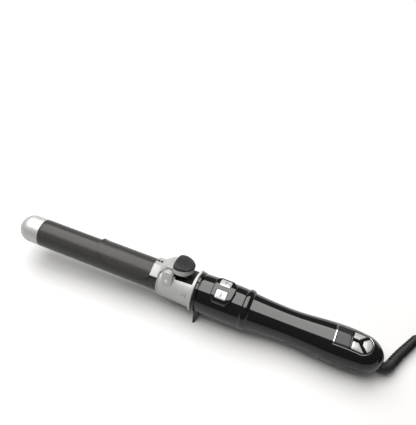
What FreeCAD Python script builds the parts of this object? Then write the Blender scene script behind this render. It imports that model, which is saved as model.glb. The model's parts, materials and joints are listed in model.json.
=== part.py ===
"""Automatic hair curler: a spinning heated barrel with a sprung clamp on a handle that holds the drive.

Stations are counted along the barrel axis from the tip of the cap. The curler stands on two feet and
on the heel of its handle, so the barrel axis leans nose up by the rest tilt. World: X from the tip
towards the cord, Z up, the origin on the floor between the feet. Millimetres.
"""
import FreeCAD, Part
import math
import os

os.makedirs("parts", exist_ok=True)
doc = FreeCAD.newDocument("hair_curler")
V = FreeCAD.Vector
X_AXIS = V(1, 0, 0)
Y_AXIS = V(0, 1, 0)
Z_AXIS = V(0, 0, 1)

# ---------------------------------------------------------------- driving dimensions
DRIVING = [
    ("foot_station", 200.6), ("rest_tilt", 2.993), ("stance_lift", 0.11), ("barrel_turn", -24.2),
    ("barrel_radius", 14.0), ("barrel_wall", 1.4), ("cap_length", 26.3), ("cap_wall", 1.6),
    ("plug_radius", 3.15), ("tube_end", 164.5),
    ("collar_start", 160.0), ("collar_front", 16.0), ("collar_rear", 17.5), ("flange_start", 194.6),
    ("flange_end", 197.2), ("flange_radius", 19.7), ("shaft_radius", 6.0), ("shaft_bore", 4.0),
    ("shaft_start", 167.0), ("shaft_end", 221.0),
    ("block_start", 36.0), ("block_end", 150.0), ("heater_thickness", 2.3),
    ("heater_width", 16.0), ("film_thickness", 0.4),
    ("pivot_station", 170.0), ("pivot_height", 10.0), ("pin_radius", 1.5), ("ear_inner", 10.4),
    ("ear_outer", 16.0), ("ear_radius", 5.4), ("ear_round_height", 14.0), ("slot_floor", 8.6),
    ("plate_inner", 14.35), ("plate_outer", 15.4), ("plate_tip", 91.5), ("plate_end", 153.0),
    ("bracket_start", 151.2), ("bracket_end", 166.0), ("bracket_top", 21.5), ("screw_shelf", 17.0),
    ("lever_half_width", 9.6), ("tray_floor", 18.0), ("tray_top", 22.4), ("keel_floor", 15.6),
    ("pad_crest", 5.8),
    ("stand_start", 198.2), ("stand_end", 200.2), ("stand_radius", 19.0), ("stand_bore", 9.0),
    ("foot_reach", 30.8), ("foot_angle", 34.5), ("foot_half_width", 4.2),
    ("housing_start", 202.2), ("shell_wall", 1.8),
    ("bead_station", 246.6), ("bead_radius", 19.1), ("bead_half_width", 4.4),
    ("gear_start", 221.0), ("gear_end", 227.0), ("gear_offset", 5.4),
    ("ring_teeth_radius", 9.0), ("ring_outer", 11.6), ("pinion_radius", 3.45),
    ("motor_radius", 7.6), ("motor_start", 243.0), ("motor_end", 268.0), ("gearbox_start", 229.5),
    ("gearbox_radius", 8.0), ("exit_drop", 8.0), ("cord_diameter", 6.5), ("coil_radius", 36.0),
]
dims = doc.addObject("Spreadsheet::Sheet", "dims")
for row, (alias, value) in enumerate(DRIVING, start=1):
    dims.set(f"A{row}", alias)
    dims.set(f"B{row}", str(value))
    dims.setAlias(f"B{row}", alias)
doc.recompute()


def size(alias):
    return float(dims.get(alias))


FOOT = size("foot_station")
TILT = size("rest_tilt")
FOOT_DROP = size("foot_reach") * math.cos(math.radians(size("foot_angle")))

# The barrel axis sits so that both feet touch the floor at the world origin.
lean = FreeCAD.Rotation(Y_AXIS, TILT)
foot_in_axes = lean.multVec(V(0, 0, -FOOT_DROP))
BODY_FRAME = FreeCAD.Placement(V(-foot_in_axes.x, 0, -foot_in_axes.z + size("stance_lift")), lean)
barrel_roll = FreeCAD.Placement(V(0, 0, 0), FreeCAD.Rotation(X_AXIS, size("barrel_turn")))
BARREL_FRAME = BODY_FRAME.multiply(barrel_roll)
WORLD = FreeCAD.Placement()
nodes = []


def node(obj, label, frame=BODY_FRAME):
    """Label a finished sub-part and put it in its frame. A bare primitive keeps its own bound place."""
    if obj.TypeId in ("Part::Cylinder", "Part::Box"):
        primitive = obj
        primitive.Label = f"{label}_shape"
        obj = doc.addObject("Part::Compound", f"{label}_node")
        obj.Links = [primitive]
    obj.Label = label
    obj.Placement = frame.multiply(obj.Placement)
    nodes.append(obj)
    return obj


# ---------------------------------------------------------------- bound primitives
def at(station):
    return f"({station}) - dims.foot_station"


def bind(obj, **expressions):
    for prop, text in expressions.items():
        obj.setExpression(prop.replace("__", "."), text)
    return obj


def rod(name, radius, start, end, y="0", z="0"):
    """Cylinder along the barrel axis between two stations."""
    obj = doc.addObject("Part::Cylinder", name)
    obj.Placement = FreeCAD.Placement(V(0, 0, 0), FreeCAD.Rotation(Y_AXIS, 90))
    return bind(obj, Radius=radius, Height=f"({end}) - ({start})", Placement__Base__x=at(start),
                Placement__Base__y=y, Placement__Base__z=z)


def bar(name, radius, station, start, end, z="0"):
    """Cylinder across the barrel axis, along Y from start to end."""
    obj = doc.addObject("Part::Cylinder", name)
    obj.Placement = FreeCAD.Placement(V(0, 0, 0), FreeCAD.Rotation(X_AXIS, -90))
    return bind(obj, Radius=radius, Height=f"({end}) - ({start})", Placement__Base__x=at(station),
                Placement__Base__y=start, Placement__Base__z=z)


def post(name, radius, station, y, start, end):
    """Cylinder along Z from start to end."""
    obj = doc.addObject("Part::Cylinder", name)
    return bind(obj, Radius=radius, Height=f"({end}) - ({start})", Placement__Base__x=at(station),
                Placement__Base__y=y, Placement__Base__z=start)


def block(name, start, end, half_width, bottom, top, y="0"):
    """Box between two stations, centred across on y."""
    obj = doc.addObject("Part::Box", name)
    return bind(obj, Length=f"({end}) - ({start})", Width=f"2 * ({half_width})",
                Height=f"({top}) - ({bottom})", Placement__Base__x=at(start),
                Placement__Base__y=f"({y}) - ({half_width})", Placement__Base__z=bottom)


def cone(name, front_radius, rear_radius, start, end):
    """Cone along the barrel axis between two stations."""
    obj = doc.addObject("Part::Cone", name)
    obj.Placement = FreeCAD.Placement(V(0, 0, 0), FreeCAD.Rotation(Y_AXIS, 90))
    return bind(obj, Radius1=front_radius, Radius2=rear_radius, Height=f"({end}) - ({start})",
                Placement__Base__x=at(start))


def ball(name, radius, station):
    obj = doc.addObject("Part::Sphere", name)
    return bind(obj, Radius=radius, Placement__Base__x=at(station))


def fuse(name, *parts):
    obj = doc.addObject("Part::MultiFuse", name)
    obj.Shapes = list(parts)
    return obj


def common(name, *parts):
    obj = doc.addObject("Part::MultiCommon", name)
    obj.Shapes = list(parts)
    return obj


def cut(name, base, *tools):
    obj = doc.addObject("Part::Cut", name)
    obj.Base = base
    obj.Tool = tools[0] if len(tools) == 1 else fuse(f"{name}_tools", *tools)
    return obj


def tube(name, outer, inner, start, end, y="0", z="0"):
    return cut(name, rod(f"{name}_outside", outer, start, end, y, z),
               rod(f"{name}_inside", inner, f"{start} - 1", f"{end} + 1", y, z))


def freeform(name, shape):
    obj = doc.addObject("Part::Feature", name)
    obj.Shape = shape
    return obj


# ---------------------------------------------------------------- shape helpers in barrel axes
def outline_face(points, to_vector):
    return Part.Face(Part.makePolygon([to_vector(*point) for point in points + points[:1]]))


def side_prism(points, half_width):
    """Prism across the curler from an outline of (station, height)."""
    face = outline_face(points, lambda s, z: V(s - FOOT, -half_width, z))
    return face.extrude(V(0, 2 * half_width, 0))


def plan_prism(points, bottom, top):
    """Upright prism from an outline of (station, y)."""
    face = outline_face(points, lambda s, y: V(s - FOOT, y, bottom))
    return face.extrude(V(0, 0, top - bottom))


def section_prism(points, start, end):
    """Prism along the barrel axis from an outline of (y, height)."""
    face = outline_face(points, lambda y, z: V(start - FOOT, y, z))
    return face.extrude(V(end - start, 0, 0))


def section_wire(points, station):
    """Closed outline of (y, height) across the barrel axis at one station."""
    return Part.makePolygon([V(station - FOOT, y, z) for y, z in points + points[:1]])


def plain_rod(radius, start, end, y=0.0, z=0.0):
    return Part.makeCylinder(radius, end - start, V(start - FOOT, y, z), X_AXIS)


def plain_block(start, end, half_width, bottom, top, y=0.0):
    return Part.makeBox(end - start, 2 * half_width, top - bottom, V(start - FOOT, y - half_width, bottom))


# Handle outline as (station, radius), without the trim bead.
HANDLE_PROFILE = [
    (202.2, 18.3), (212.0, 18.6), (226.0, 18.6), (240.0, 18.3), (252.0, 16.9), (263.0, 16.0), (274.0, 15.4),
    (285.0, 15.1), (294.0, 15.3), (304.0, 16.0), (314.0, 16.9), (324.0, 17.6), (334.0, 17.9), (344.0, 17.7),
    (352.0, 16.9),
]
TAIL_START, TAIL_RADIUS, TAIL_END = 352.0, 16.9, 371.5


def handle_solid(offset):
    """Solid of the handle's outline, grown or shrunk by offset, with a rounded tail."""
    points = [V(s - FOOT, 0, r + offset) for s, r in HANDLE_PROFILE]
    body_line = Part.BSplineCurve()
    body_line.interpolate(points)
    centre = V(TAIL_START - FOOT, 0, 0)
    pole = V(TAIL_END - FOOT + offset, 0, 0)
    tail_steps = 9
    tail_points = []
    for step in range(tail_steps + 1):
        angle = math.pi / 2 * step / tail_steps
        along = (TAIL_END + offset - TAIL_START) * math.sin(angle) ** 1.12
        tail_points.append(centre + V(along, 0, (TAIL_RADIUS + offset) * math.cos(angle) ** 0.98))
    tail_points[0] = points[-1]
    tail_points[-1] = pole
    tail_line = Part.BSplineCurve()
    tail_line.interpolate(tail_points)
    start_axis = V(points[0].x, 0, 0)
    wire = Part.Wire([
        Part.makeLine(start_axis, points[0]), body_line.toShape(), tail_line.toShape(),
        Part.makeLine(pole, start_axis)])
    return Part.Face(wire).revolve(V(0, 0, 0), X_AXIS, 360)


# ---------------------------------------------------------------- barrel group
def build_barrel():
    cap_body = fuse("cap_body", ball("cap_dome", "dims.barrel_radius", "dims.barrel_radius"),
                    rod("cap_skirt", "dims.barrel_radius", "dims.barrel_radius", "dims.cap_length"))
    cap_shape = common("cap_outside", cap_body,
                       rod("cap_limit", "dims.barrel_radius + 1", "-1", "dims.cap_length"))
    cap_inside = "dims.barrel_radius - dims.cap_wall"
    cap_room = fuse("cap_room", ball("cap_hollow", cap_inside, "dims.barrel_radius"),
                    rod("cap_bore", cap_inside, "dims.barrel_radius", "dims.cap_length + 1"))
    node(cut("tip_cap", cap_shape, cap_room, rod("cap_hole", "dims.plug_radius", "-1", "8")), "tip_cap",
         BARREL_FRAME)
    node(fuse("tip_plug", rod("plug_stem", "dims.plug_radius", "-0.2", "7"),
              rod("plug_head", "dims.plug_radius + 0.75", "-0.4", "0.36"),
              rod("plug_lip", "dims.plug_radius + 0.8", "4", "7")), "tip_plug", BARREL_FRAME)
    node(tube("barrel_tube", "dims.barrel_radius", "dims.barrel_radius - dims.barrel_wall",
              "dims.cap_length", "dims.tube_end"), "barrel_tube", BARREL_FRAME)

    half_gap = "dims.heater_thickness / 2 + dims.film_thickness"
    for side, bottom, top in (("upper", half_gap, "13"), ("lower", "-13", f"-({half_gap})")):
        node(common(f"heat_block_{side}",
                    rod(f"heat_round_{side}", "dims.barrel_radius - dims.barrel_wall - 0.1",
                        "dims.block_start", "dims.block_end"),
                    block(f"heat_half_{side}", "dims.block_start", "dims.block_end", "13", bottom, top)),
             f"heat_block_{side}", BARREL_FRAME)
    node(block("ptc_heater", "dims.block_start + 2", "dims.block_end - 2", "dims.heater_width / 2",
               "-dims.heater_thickness / 2", "dims.heater_thickness / 2"), "ptc_heater", BARREL_FRAME)
    node(cut("insulation_sleeve",
             block("film_outside", "dims.block_start", "dims.block_end",
                   "dims.heater_width / 2 + dims.film_thickness", f"-({half_gap})", half_gap),
             block("film_inside", "dims.block_start - 1", "dims.block_end + 1", "dims.heater_width / 2",
                   "-dims.heater_thickness / 2", "dims.heater_thickness / 2")),
         "insulation_sleeve", BARREL_FRAME)
    node(rod("thermistor", "1.3", "dims.block_end", "dims.block_end + 6", "0", "6"), "thermistor",
         BARREL_FRAME)


def build_collar():
    body = cone("collar_body", "dims.collar_front", "dims.collar_rear", "dims.collar_start",
                "dims.flange_start")
    ears = []
    for side, start, end in (("near", "-dims.ear_outer", "-dims.ear_inner"),
                             ("far", "dims.ear_inner", "dims.ear_outer")):
        ears.append(bar(f"ear_round_{side}", "dims.ear_radius", "dims.pivot_station", start, end,
                        "dims.ear_round_height"))
        middle = f"(({start}) + ({end})) / 2"
        ears.append(block(f"ear_root_{side}", "dims.pivot_station - dims.ear_radius",
                          "dims.pivot_station + dims.ear_radius", "(dims.ear_outer - dims.ear_inner) / 2",
                          "-2", "dims.ear_round_height", middle))
    lever_room = block("lever_room", "dims.pivot_station - 6.4", "dims.flange_start - 0.6",
                       "dims.ear_inner", "dims.slot_floor", "dims.bracket_top")
    pad_room = block("pad_room", "dims.pivot_station + 6.5", "dims.flange_start - 0.6", "11.8",
                     "dims.slot_floor", "dims.bracket_top")
    pivot_room = block("pivot_room", "dims.pivot_station - 5", "dims.pivot_station + 6",
                       "dims.ear_inner", "5", "9")
    tube_seat = rod("tube_seat", "dims.barrel_radius", "dims.collar_start - 1", "dims.tube_end")
    wire_way = rod("wire_way", "dims.shaft_radius", "dims.collar_start", "dims.flange_start + 1")
    pin_hole = bar("pin_hole", "dims.pin_radius", "dims.pivot_station", "-20", "20", "dims.pivot_height")
    node(cut("barrel_collar", fuse("collar_solid", body, *ears), lever_room, pad_room, pivot_room,
             tube_seat, wire_way, pin_hole), "barrel_collar", BARREL_FRAME)
    lobe = post("flange_lobe", "(dims.flange_end - dims.flange_start) / 2 - 0.2",
                "(dims.flange_start + dims.flange_end) / 2", "0", "-dims.flange_radius - 1.6",
                "-dims.flange_radius + 3")
    node(cut("collar_flange",
             fuse("flange_solid", rod("flange_disc", "dims.flange_radius", "dims.flange_start",
                                      "dims.flange_end"), lobe),
             rod("flange_bore", "dims.shaft_radius", "dims.flange_start - 1", "dims.flange_end + 1")),
         "collar_flange", BARREL_FRAME)
    node(tube("barrel_shaft", "dims.shaft_radius", "dims.shaft_bore", "dims.shaft_start", "dims.shaft_end"),
         "barrel_shaft", BARREL_FRAME)
    node(tube("ring_insulator", "dims.shaft_radius + 0.9", "dims.shaft_radius", "212.4", "219.4"),
         "ring_insulator", BARREL_FRAME)
    rings = [tube(f"slip_ring_{index}", "dims.shaft_radius + 2", "dims.shaft_radius + 0.9",
                  str(start), f"{start} + 1.8") for index, start in enumerate((213.2, 216.8))]
    node(fuse("slip_rings", *rings), "slip_rings", BARREL_FRAME)
    node(bar("hinge_pin", "dims.pin_radius", "dims.pivot_station", "-dims.ear_outer - 0.3",
             "dims.ear_outer + 0.3", "dims.pivot_height"), "hinge_pin", BARREL_FRAME)
    spring_body = bar("spring_body", "3.2", "dims.pivot_station", "-5.4", "5.4", "dims.pivot_height")
    spring_leg = block("spring_leg", "dims.pivot_station + 2", "dims.pivot_station + 14", "0.6", "8.6", "9.8")
    spring_bore = bar("spring_bore", "dims.pin_radius + 0.4", "dims.pivot_station", "-7", "7",
                      "dims.pivot_height")
    node(cut("hinge_spring", fuse("spring_solid", spring_body, spring_leg), spring_bore), "hinge_spring",
         BARREL_FRAME)


def build_rivets():
    """Two rivets low on the barrel, just ahead of the collar."""
    rivet_station, rivet_angle = 156.0, 101.0
    heads = []
    for side in (-1, 1):
        angle = math.radians(rivet_angle) * side
        outward = V(0, math.sin(angle), math.cos(angle))
        foot = V(rivet_station - FOOT, 0, 0) + outward * (size("barrel_radius") - 0.3)
        heads.append(Part.makeCylinder(1.5, 0.9, foot, outward))
    skin = plain_rod(size("barrel_radius"), rivet_station - 5, rivet_station + 5)
    node(freeform("barrel_rivets", Part.makeCompound([head.cut(skin) for head in heads])),
         "barrel_rivets", BARREL_FRAME)


def tooth_ring(count, radius, depth, start, end, z=0.0):
    """Star outline of a gear: points alternate between the tip radius and the root radius."""
    root = radius - depth
    outline = []
    for index in range(count):
        for share, distance in ((-0.34, root), (-0.16, radius), (0.16, radius), (0.34, root)):
            angle = 2 * math.pi * (index + share) / count
            outline.append((distance * math.sin(angle), z + distance * math.cos(angle)))
    return section_prism(outline, start, end)


def build_gears():
    start, end = size("gear_start"), size("gear_end")
    teeth_radius = size("ring_teeth_radius")
    cup = plain_rod(size("ring_outer"), start, end)
    cavity = tooth_ring(30, teeth_radius + 1.1, 1.1, start + 1.4, end + 1)
    hub = plain_rod(size("ring_outer"), start - 1.4, start)
    bore = plain_rod(size("shaft_bore"), start - 2, end + 1)
    sleeve = plain_rod(size("shaft_radius"), start - 2, size("shaft_end"))
    node(freeform("ring_gear", cup.cut(cavity).fuse(hub).cut(bore.fuse(sleeve)).removeSplitter()),
         "ring_gear", BARREL_FRAME)
    offset = -size("gear_offset")
    pinion = tooth_ring(12, size("pinion_radius"), 0.9, start + 1.8, end - 0.2, offset)
    node(freeform("pinion", pinion.cut(plain_rod(1.2, start, end + 1, 0, offset))), "pinion")
    node(rod("pinion_shaft", "1.2", "dims.gear_start + 1.8", "dims.gearbox_start", "0", "-dims.gear_offset"),
         "pinion_shaft")


# ---------------------------------------------------------------- clamp group
# Thumb pad in plan (station, y): a straight front edge, sides that close in, and a round rear.
PAD_HALF = [(171.6, 0), (171.7, 7.4), (172.4, 9.8), (173.8, 11.4), (176.0, 12.2), (179.0, 12.2),
            (182.5, 11.2), (185.8, 9.2), (188.4, 6.2), (189.9, 2.6), (190.2, 0)]
PAD_OUTLINE = PAD_HALF + [(station, -y) for station, y in reversed(PAD_HALF[1:-1])]
KEEL_HALF = [(174.6, 0), (174.6, 9.8), (181.4, 9.8), (185.2, 7.8), (187.2, 4.8), (188.0, 0)]
KEEL_OUTLINE = KEEL_HALF + [(station, -y) for station, y in reversed(KEEL_HALF[1:-1])]
# Rise of the pad along its length and across it, as shares of its crest.
PAD_SIDE_LINE = [(171.6, 0), (171.6, 0.72), (172.4, 0.9), (174.0, 1.0), (177.0, 0.98), (181.0, 0.84),
                 (185.0, 0.60), (188.0, 0.36), (190.2, 0.12), (190.2, 0)]
PAD_ARCH = [(-13.0, 0.3), (-11.5, 0.62), (-8.5, 0.84), (-4.5, 0.97), (0, 1.0), (4.5, 0.97), (8.5, 0.84),
            (11.5, 0.62), (13.0, 0.3)]


def build_clamp():
    tip, end = size("plate_tip"), size("plate_end")
    outline = [(tip, 17), (tip + 0.3, 14.6), (tip + 1.2, 12.0), (tip + 3.2, 9.6), (tip + 6.8, 7.2),
               (tip + 12, 4.4), (tip + 17.5, 2.6), (end - 6, 2.6), (end - 2.6, 4.2), (end, 8), (end, 17)]
    ring = plain_rod(size("plate_outer"), tip - 5, end + 5).cut(
        plain_rod(size("plate_inner"), tip - 6, end + 6))
    node(freeform("clamp_plate", ring.common(side_prism(outline, 20))), "clamp_plate", BARREL_FRAME)

    start, rear, top = size("bracket_start"), size("bracket_end"), size("bracket_top")
    shelf, shelf_end = size("screw_shelf"), 158.6
    front_section = [(-15.2, 6.5), (-13.2, 10.6), (-6.2, shelf), (6.2, shelf), (13.2, 10.6), (15.2, 6.5)]
    rear_section = [(-15.2, 6.5), (-13.8, 12.0), (-9.2, top), (9.2, top), (13.8, 12.0), (15.2, 6.5)]
    sections = [section_wire(front_section, shelf_end), section_wire(rear_section, rear)]
    rise = Part.makeLoft(sections, True, True)
    bracket = section_prism(front_section, start, shelf_end).fuse(rise)
    half = size("lever_half_width")
    pivot, height = size("pivot_station"), size("pivot_height")
    tray_floor, tray_top = size("tray_floor"), size("tray_top")
    neck = plain_block(rear - 0.4, pivot + 6, half, 15.8, top)
    lug = Part.makeCylinder(4.0, 2 * half, V(pivot - FOOT, -half, height), Y_AXIS)
    web = plain_block(pivot - 4, pivot + 4, half, height, 17)
    lug_gap = plain_block(pivot - 8, pivot + 8, 6.0, 0, 15.8)
    tray = plan_prism(PAD_OUTLINE, tray_floor, tray_top)
    keel = plan_prism(KEEL_OUTLINE, size("keel_floor"), tray_floor)
    plate_seat = plain_rod(size("plate_outer"), start - 1, size("plate_end"))
    tube_clearance = plain_rod(size("plate_inner") + 0.25, size("plate_end"), size("collar_start"))
    collar_clearance = plain_rod(size("collar_front") + 0.5, size("collar_start") - 1.6, rear + 0.2)
    pin_start = V(pivot - FOOT, -half - 1, height)
    pin = Part.makeCylinder(size("pin_radius") + 0.05, 2 * half + 2, pin_start, Y_AXIS)
    ear_sweeps = [Part.makeCylinder(9.8, 10, V(pivot - FOOT, y, height), Y_AXIS) for y in (-20.1, 10.1)]
    lever = bracket.fuse([neck, lug.fuse(web).cut(lug_gap), tray, keel])
    rooms = plate_seat.fuse([tube_clearance, collar_clearance, pin] + ear_sweeps)
    node(freeform("clamp_lever", lever.cut(rooms).removeSplitter()), "clamp_lever", BARREL_FRAME)

    crest = size("pad_crest")
    dome = side_prism([(s, tray_top + crest * share) for s, share in PAD_SIDE_LINE], 20)
    section = section_prism([(-14, tray_top)] + [(y, tray_top + crest * share) for y, share in PAD_ARCH]
                            + [(14, tray_top)], 168, 192)
    pad = plan_prism(PAD_OUTLINE, tray_top, tray_top + crest + 1).common(dome).common(section)
    node(freeform("thumb_pad", pad), "thumb_pad", BARREL_FRAME)
    screws = []
    for index, station in enumerate((154.0, 157.1)):
        screws.append(post(f"clamp_screw_{index}", "1.3", str(station), "0", "dims.screw_shelf",
                           "dims.screw_shelf + 0.6"))
    node(fuse("clamp_screws", *screws), "clamp_screws", BARREL_FRAME)


# ---------------------------------------------------------------- handle shells and trim
POD_OUTLINE = [(213, -9), (216, -13), (229, -13), (233.5, -8), (234.5, 0), (233.5, 8), (229, 13), (216, 13),
               (213, 9)]
PANEL_FRONT, PANEL_STRAIGHT_END, PANEL_HALF_WIDTH = 326.0, 350.0, 9.7
BEZEL_WIDTH, FRONT_BAR_SHARE, BUTTON_MARGIN = 0.6, 2.6, 0.7
SKIN_OUTLINE = [(286, -30), (286, -6), (290, -2.2), (296, 0.6), (304, 2.0), (330, 2.0), (336, -0.4),
                (352, -0.6), (359, -2.4), (361.5, -6), (361.5, -30)]
WINDOW_OUTLINE = [(303, -5.5), (312, -1.8), (326, -1.6), (332, -4.5), (333.5, -9), (329, -13), (316, -13),
                  (306, -10)]
EXIT_BORE = 6.4
SCREW_STATIONS = (271.0, 325.5)


def panel_prism(inset, start=PANEL_FRONT):
    """Upright prism of the U-shaped panel: straight in front, round behind. Its front bar is wider."""
    half = PANEL_HALF_WIDTH - inset
    straight = plain_block(start + inset * FRONT_BAR_SHARE, PANEL_STRAIGHT_END, half, 3, 30)
    round_end = Part.makeCylinder(half, 27, V(PANEL_STRAIGHT_END - FOOT, 0, 3))
    return straight.fuse(round_end)


def screw_shapes(shrink):
    """Shanks and countersunk heads of the screws that close the shells from below."""
    shapes = []
    for station in SCREW_STATIONS:
        shapes.append(Part.makeCylinder(1.3 + shrink, 22, V(station - FOOT, 0, -14)))
        shapes.append(Part.makeCylinder(2.5 + shrink, 16, V(station - FOOT, 0, -30)))
    return shapes[0].fuse(shapes[1:])


def skin_layer(inner, outer):
    """Layer of the handle's outside between two offsets."""
    return handle_solid(outer).cut(handle_solid(inner))


def button_prisms(play):
    """Plan prisms of the screen and of the three tail buttons, each smaller by play all round."""
    screen_end, row_start, arm = 340.2, 341.2 + play, 1.3 + play
    inside = panel_prism(BEZEL_WIDTH + BUTTON_MARGIN + play)
    screen = panel_prism(BEZEL_WIDTH).common(plain_block(PANEL_FRONT, screen_end, 15, 3, 30))
    near = inside.common(plan_prism([(row_start, -15), (row_start, -arm), (346.8 - play, -arm),
                                     (359.0 - play, -15)], 3, 30))
    far = inside.common(plan_prism([(row_start, 15), (row_start, arm), (346.8 - play, arm),
                                    (359.0 - play, 15)], 3, 30))
    rear_start = 349.9 + play
    rear = inside.common(plan_prism([(rear_start, -2.0), (rear_start + 11, -11.8), (rear_start + 11, 11.8),
                                     (rear_start, 2.0)], 3, 30))
    return screen, {"panel_button_near": near, "panel_button_far": far, "panel_button_rear": rear}


def build_shells():
    wall = size("shell_wall")
    outside = handle_solid(0)
    hollow = handle_solid(-wall).cut(plain_block(195, size("housing_start") + 3, 25, -25, 25))
    exit_hole = plain_rod(EXIT_BORE, 360, 380, 0, -size("exit_drop"))
    skin_recess = skin_layer(-0.8, 1).common(side_prism(SKIN_OUTLINE, 25))
    bead_groove = plain_rod(30, 243.6, 249.6).cut(plain_rod(16.9, 243, 250))
    pod_hole = plan_prism([(216, -11), (231, -11), (231, 11), (216, 11)], 3, 30)
    panel_hole = panel_prism(BEZEL_WIDTH)
    bearing_seat = plain_rod(9.0, 200, 206)
    socket_seat = plain_rod(6.0, 350, 360, 0, -size("exit_drop"))
    shell = outside.cut(hollow).cut(bearing_seat).cut(exit_hole).cut(socket_seat)
    shell = shell.cut(skin_recess).cut(bead_groove)
    upper_half = plain_block(195, 380, 30, 0, 30)
    screw_room = screw_shapes(0.0)
    bosses = [Part.makeCylinder(3.4, 36, V(s - FOOT, 0, -18)).common(hollow) for s in SCREW_STATIONS]
    shell = shell.fuse(bosses)
    top_shell = shell.common(upper_half).cut(pod_hole.fuse(panel_hole)).cut(screw_room)
    bottom_shell = shell.cut(upper_half).cut(screw_room)
    node(freeform("handle_top_shell", top_shell), "handle_top_shell")
    node(freeform("handle_bottom_shell", bottom_shell), "handle_bottom_shell")
    grip = skin_layer(-0.8, 0.3).common(side_prism(SKIN_OUTLINE, 25)).cut(exit_hole)
    node(freeform("grip_skin", grip.cut(side_prism(WINDOW_OUTLINE, 25)).cut(screw_room)), "grip_skin")
    screws = screw_shapes(-0.05).cut(plain_rod(60, 195, 380).cut(handle_solid(0)))
    node(freeform("shell_screws", screws), "shell_screws")


def build_trim():
    """Bead between housing and grip, and the pod under the direction buttons."""
    station, radius, half = size("bead_station"), size("bead_radius"), size("bead_half_width")
    arc = Part.Arc(V(station - half - FOOT, 0, radius - 2.4), V(station - FOOT, 0, radius),
                   V(station + half - FOOT, 0, radius - 2.4)).toShape()
    low = radius - 2.4
    lines = [V(station + half - FOOT, 0, low), V(station + 3 - FOOT, 0, low), V(station + 3 - FOOT, 0, 16.9),
             V(station - 3 - FOOT, 0, 16.9), V(station - 3 - FOOT, 0, low), V(station - half - FOOT, 0, low)]
    wire = Part.Wire([arc, Part.makePolygon(lines)])
    bead = Part.Face(wire).revolve(V(0, 0, 0), X_AXIS, 360)
    node(freeform("trim_bead", bead.cut(handle_solid(0).cut(plain_rod(30, 243.6, 249.6)))), "trim_bead")

    crown = plain_rod(21.4, 213, 234.5).cut(plain_rod(17.2, 212, 236))
    pod = crown.common(plan_prism(POD_OUTLINE, 3, 30)).cut(
        handle_solid(0).cut(plan_prism([(216, -11), (231, -11), (231, 11), (216, 11)], 3, 30)))
    for wells in button_wells(0.3):
        pod = pod.cut(wells)
    node(freeform("button_pod", pod), "button_pod")


POD_BUTTONS = (("direction_button_near", -1), ("direction_button_far", 1))
POD_BUTTON_ANGLE, POD_BUTTON_STATION = 17.0, 222.8
POD_BUTTON_LENGTH, POD_BUTTON_WIDTH = 11.0, 8.4


def tilted_block(side, length, width, bottom, top):
    """Box on the pod, square to the surface at one of the two direction buttons."""
    box = Part.makeBox(length, width, top - bottom,
                       V(POD_BUTTON_STATION - FOOT - length / 2, -width / 2, bottom))
    box = box.makeFillet(1.2, [edge for edge in box.Edges if abs(edge.tangentAt(0).z) > 0.9])
    box.rotate(V(0, 0, 0), X_AXIS, -side * POD_BUTTON_ANGLE)
    return box


def button_wells(clearance):
    return [tilted_block(side, POD_BUTTON_LENGTH + 2 * clearance, POD_BUTTON_WIDTH + 2 * clearance, 12, 30)
            for _, side in POD_BUTTONS]


def build_buttons():
    for name, side in POD_BUTTONS:
        cap = tilted_block(side, POD_BUTTON_LENGTH, POD_BUTTON_WIDTH, 18.4, 24)
        node(freeform(name, cap.common(plain_rod(21.9, 210, 240))), name)
    screen, buttons = button_prisms(0.3)
    layer = skin_layer(-1.6, 0.9)
    for name, prism in buttons.items():
        node(freeform(name, layer.common(prism)), name)
    node(freeform("display_lens", skin_layer(-1.2, 0.35).common(screen)), "display_lens")
    frame_ring = panel_prism(0).cut(panel_prism(BEZEL_WIDTH))
    node(freeform("display_bezel", skin_layer(0, 0.8).common(frame_ring)), "display_bezel")
    divider = skin_layer(-1.2, 0.3).common(panel_prism(BEZEL_WIDTH))
    button_holes = button_prisms(0)[1]
    for prism in list(button_holes.values()) + [screen]:
        divider = divider.cut(prism)
    node(freeform("panel_divider", divider), "panel_divider")


# ---------------------------------------------------------------- drive and electronics in the handle
def build_stand():
    """Thin ring with two feet, ahead of the housing."""
    start, end = size("stand_start"), size("stand_end")
    ring = plain_rod(size("stand_radius"), start, end)
    spigot = plain_rod(16.6, end, size("housing_start"))
    lug = plain_block(start, end, 2.6, 16, size("stand_radius") + 1.6)
    floor_cut = Part.makeBox(60, 90, 20, V(-30, -45, -FOOT_DROP - 20))
    half = size("foot_half_width")
    reach = size("foot_reach") + 3
    fin = [(start - 0.3, -17.0), (size("housing_start") + 3.4, -17.0), (FOOT + 1.2, -reach),
           (FOOT - 0.8, -reach)]
    wedge = [(-half, -16), (half, -16), (1.5, -reach), (-1.5, -reach)]
    feet = []
    for side in (-1, 1):
        foot = side_prism(fin, half)
        foot = foot.common(section_prism(wedge, start - 5, start + 12))
        foot.rotate(V(0, 0, 0), X_AXIS, side * size("foot_angle"))
        feet.append(foot)
    bore = plain_rod(size("stand_bore"), start - 1, size("housing_start") + 9)
    stand = ring.fuse([spigot, lug] + feet).cut(bore).cut(handle_solid(0)).cut(floor_cut)
    node(freeform("stand_ring", stand.removeSplitter()), "stand_ring")


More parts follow.
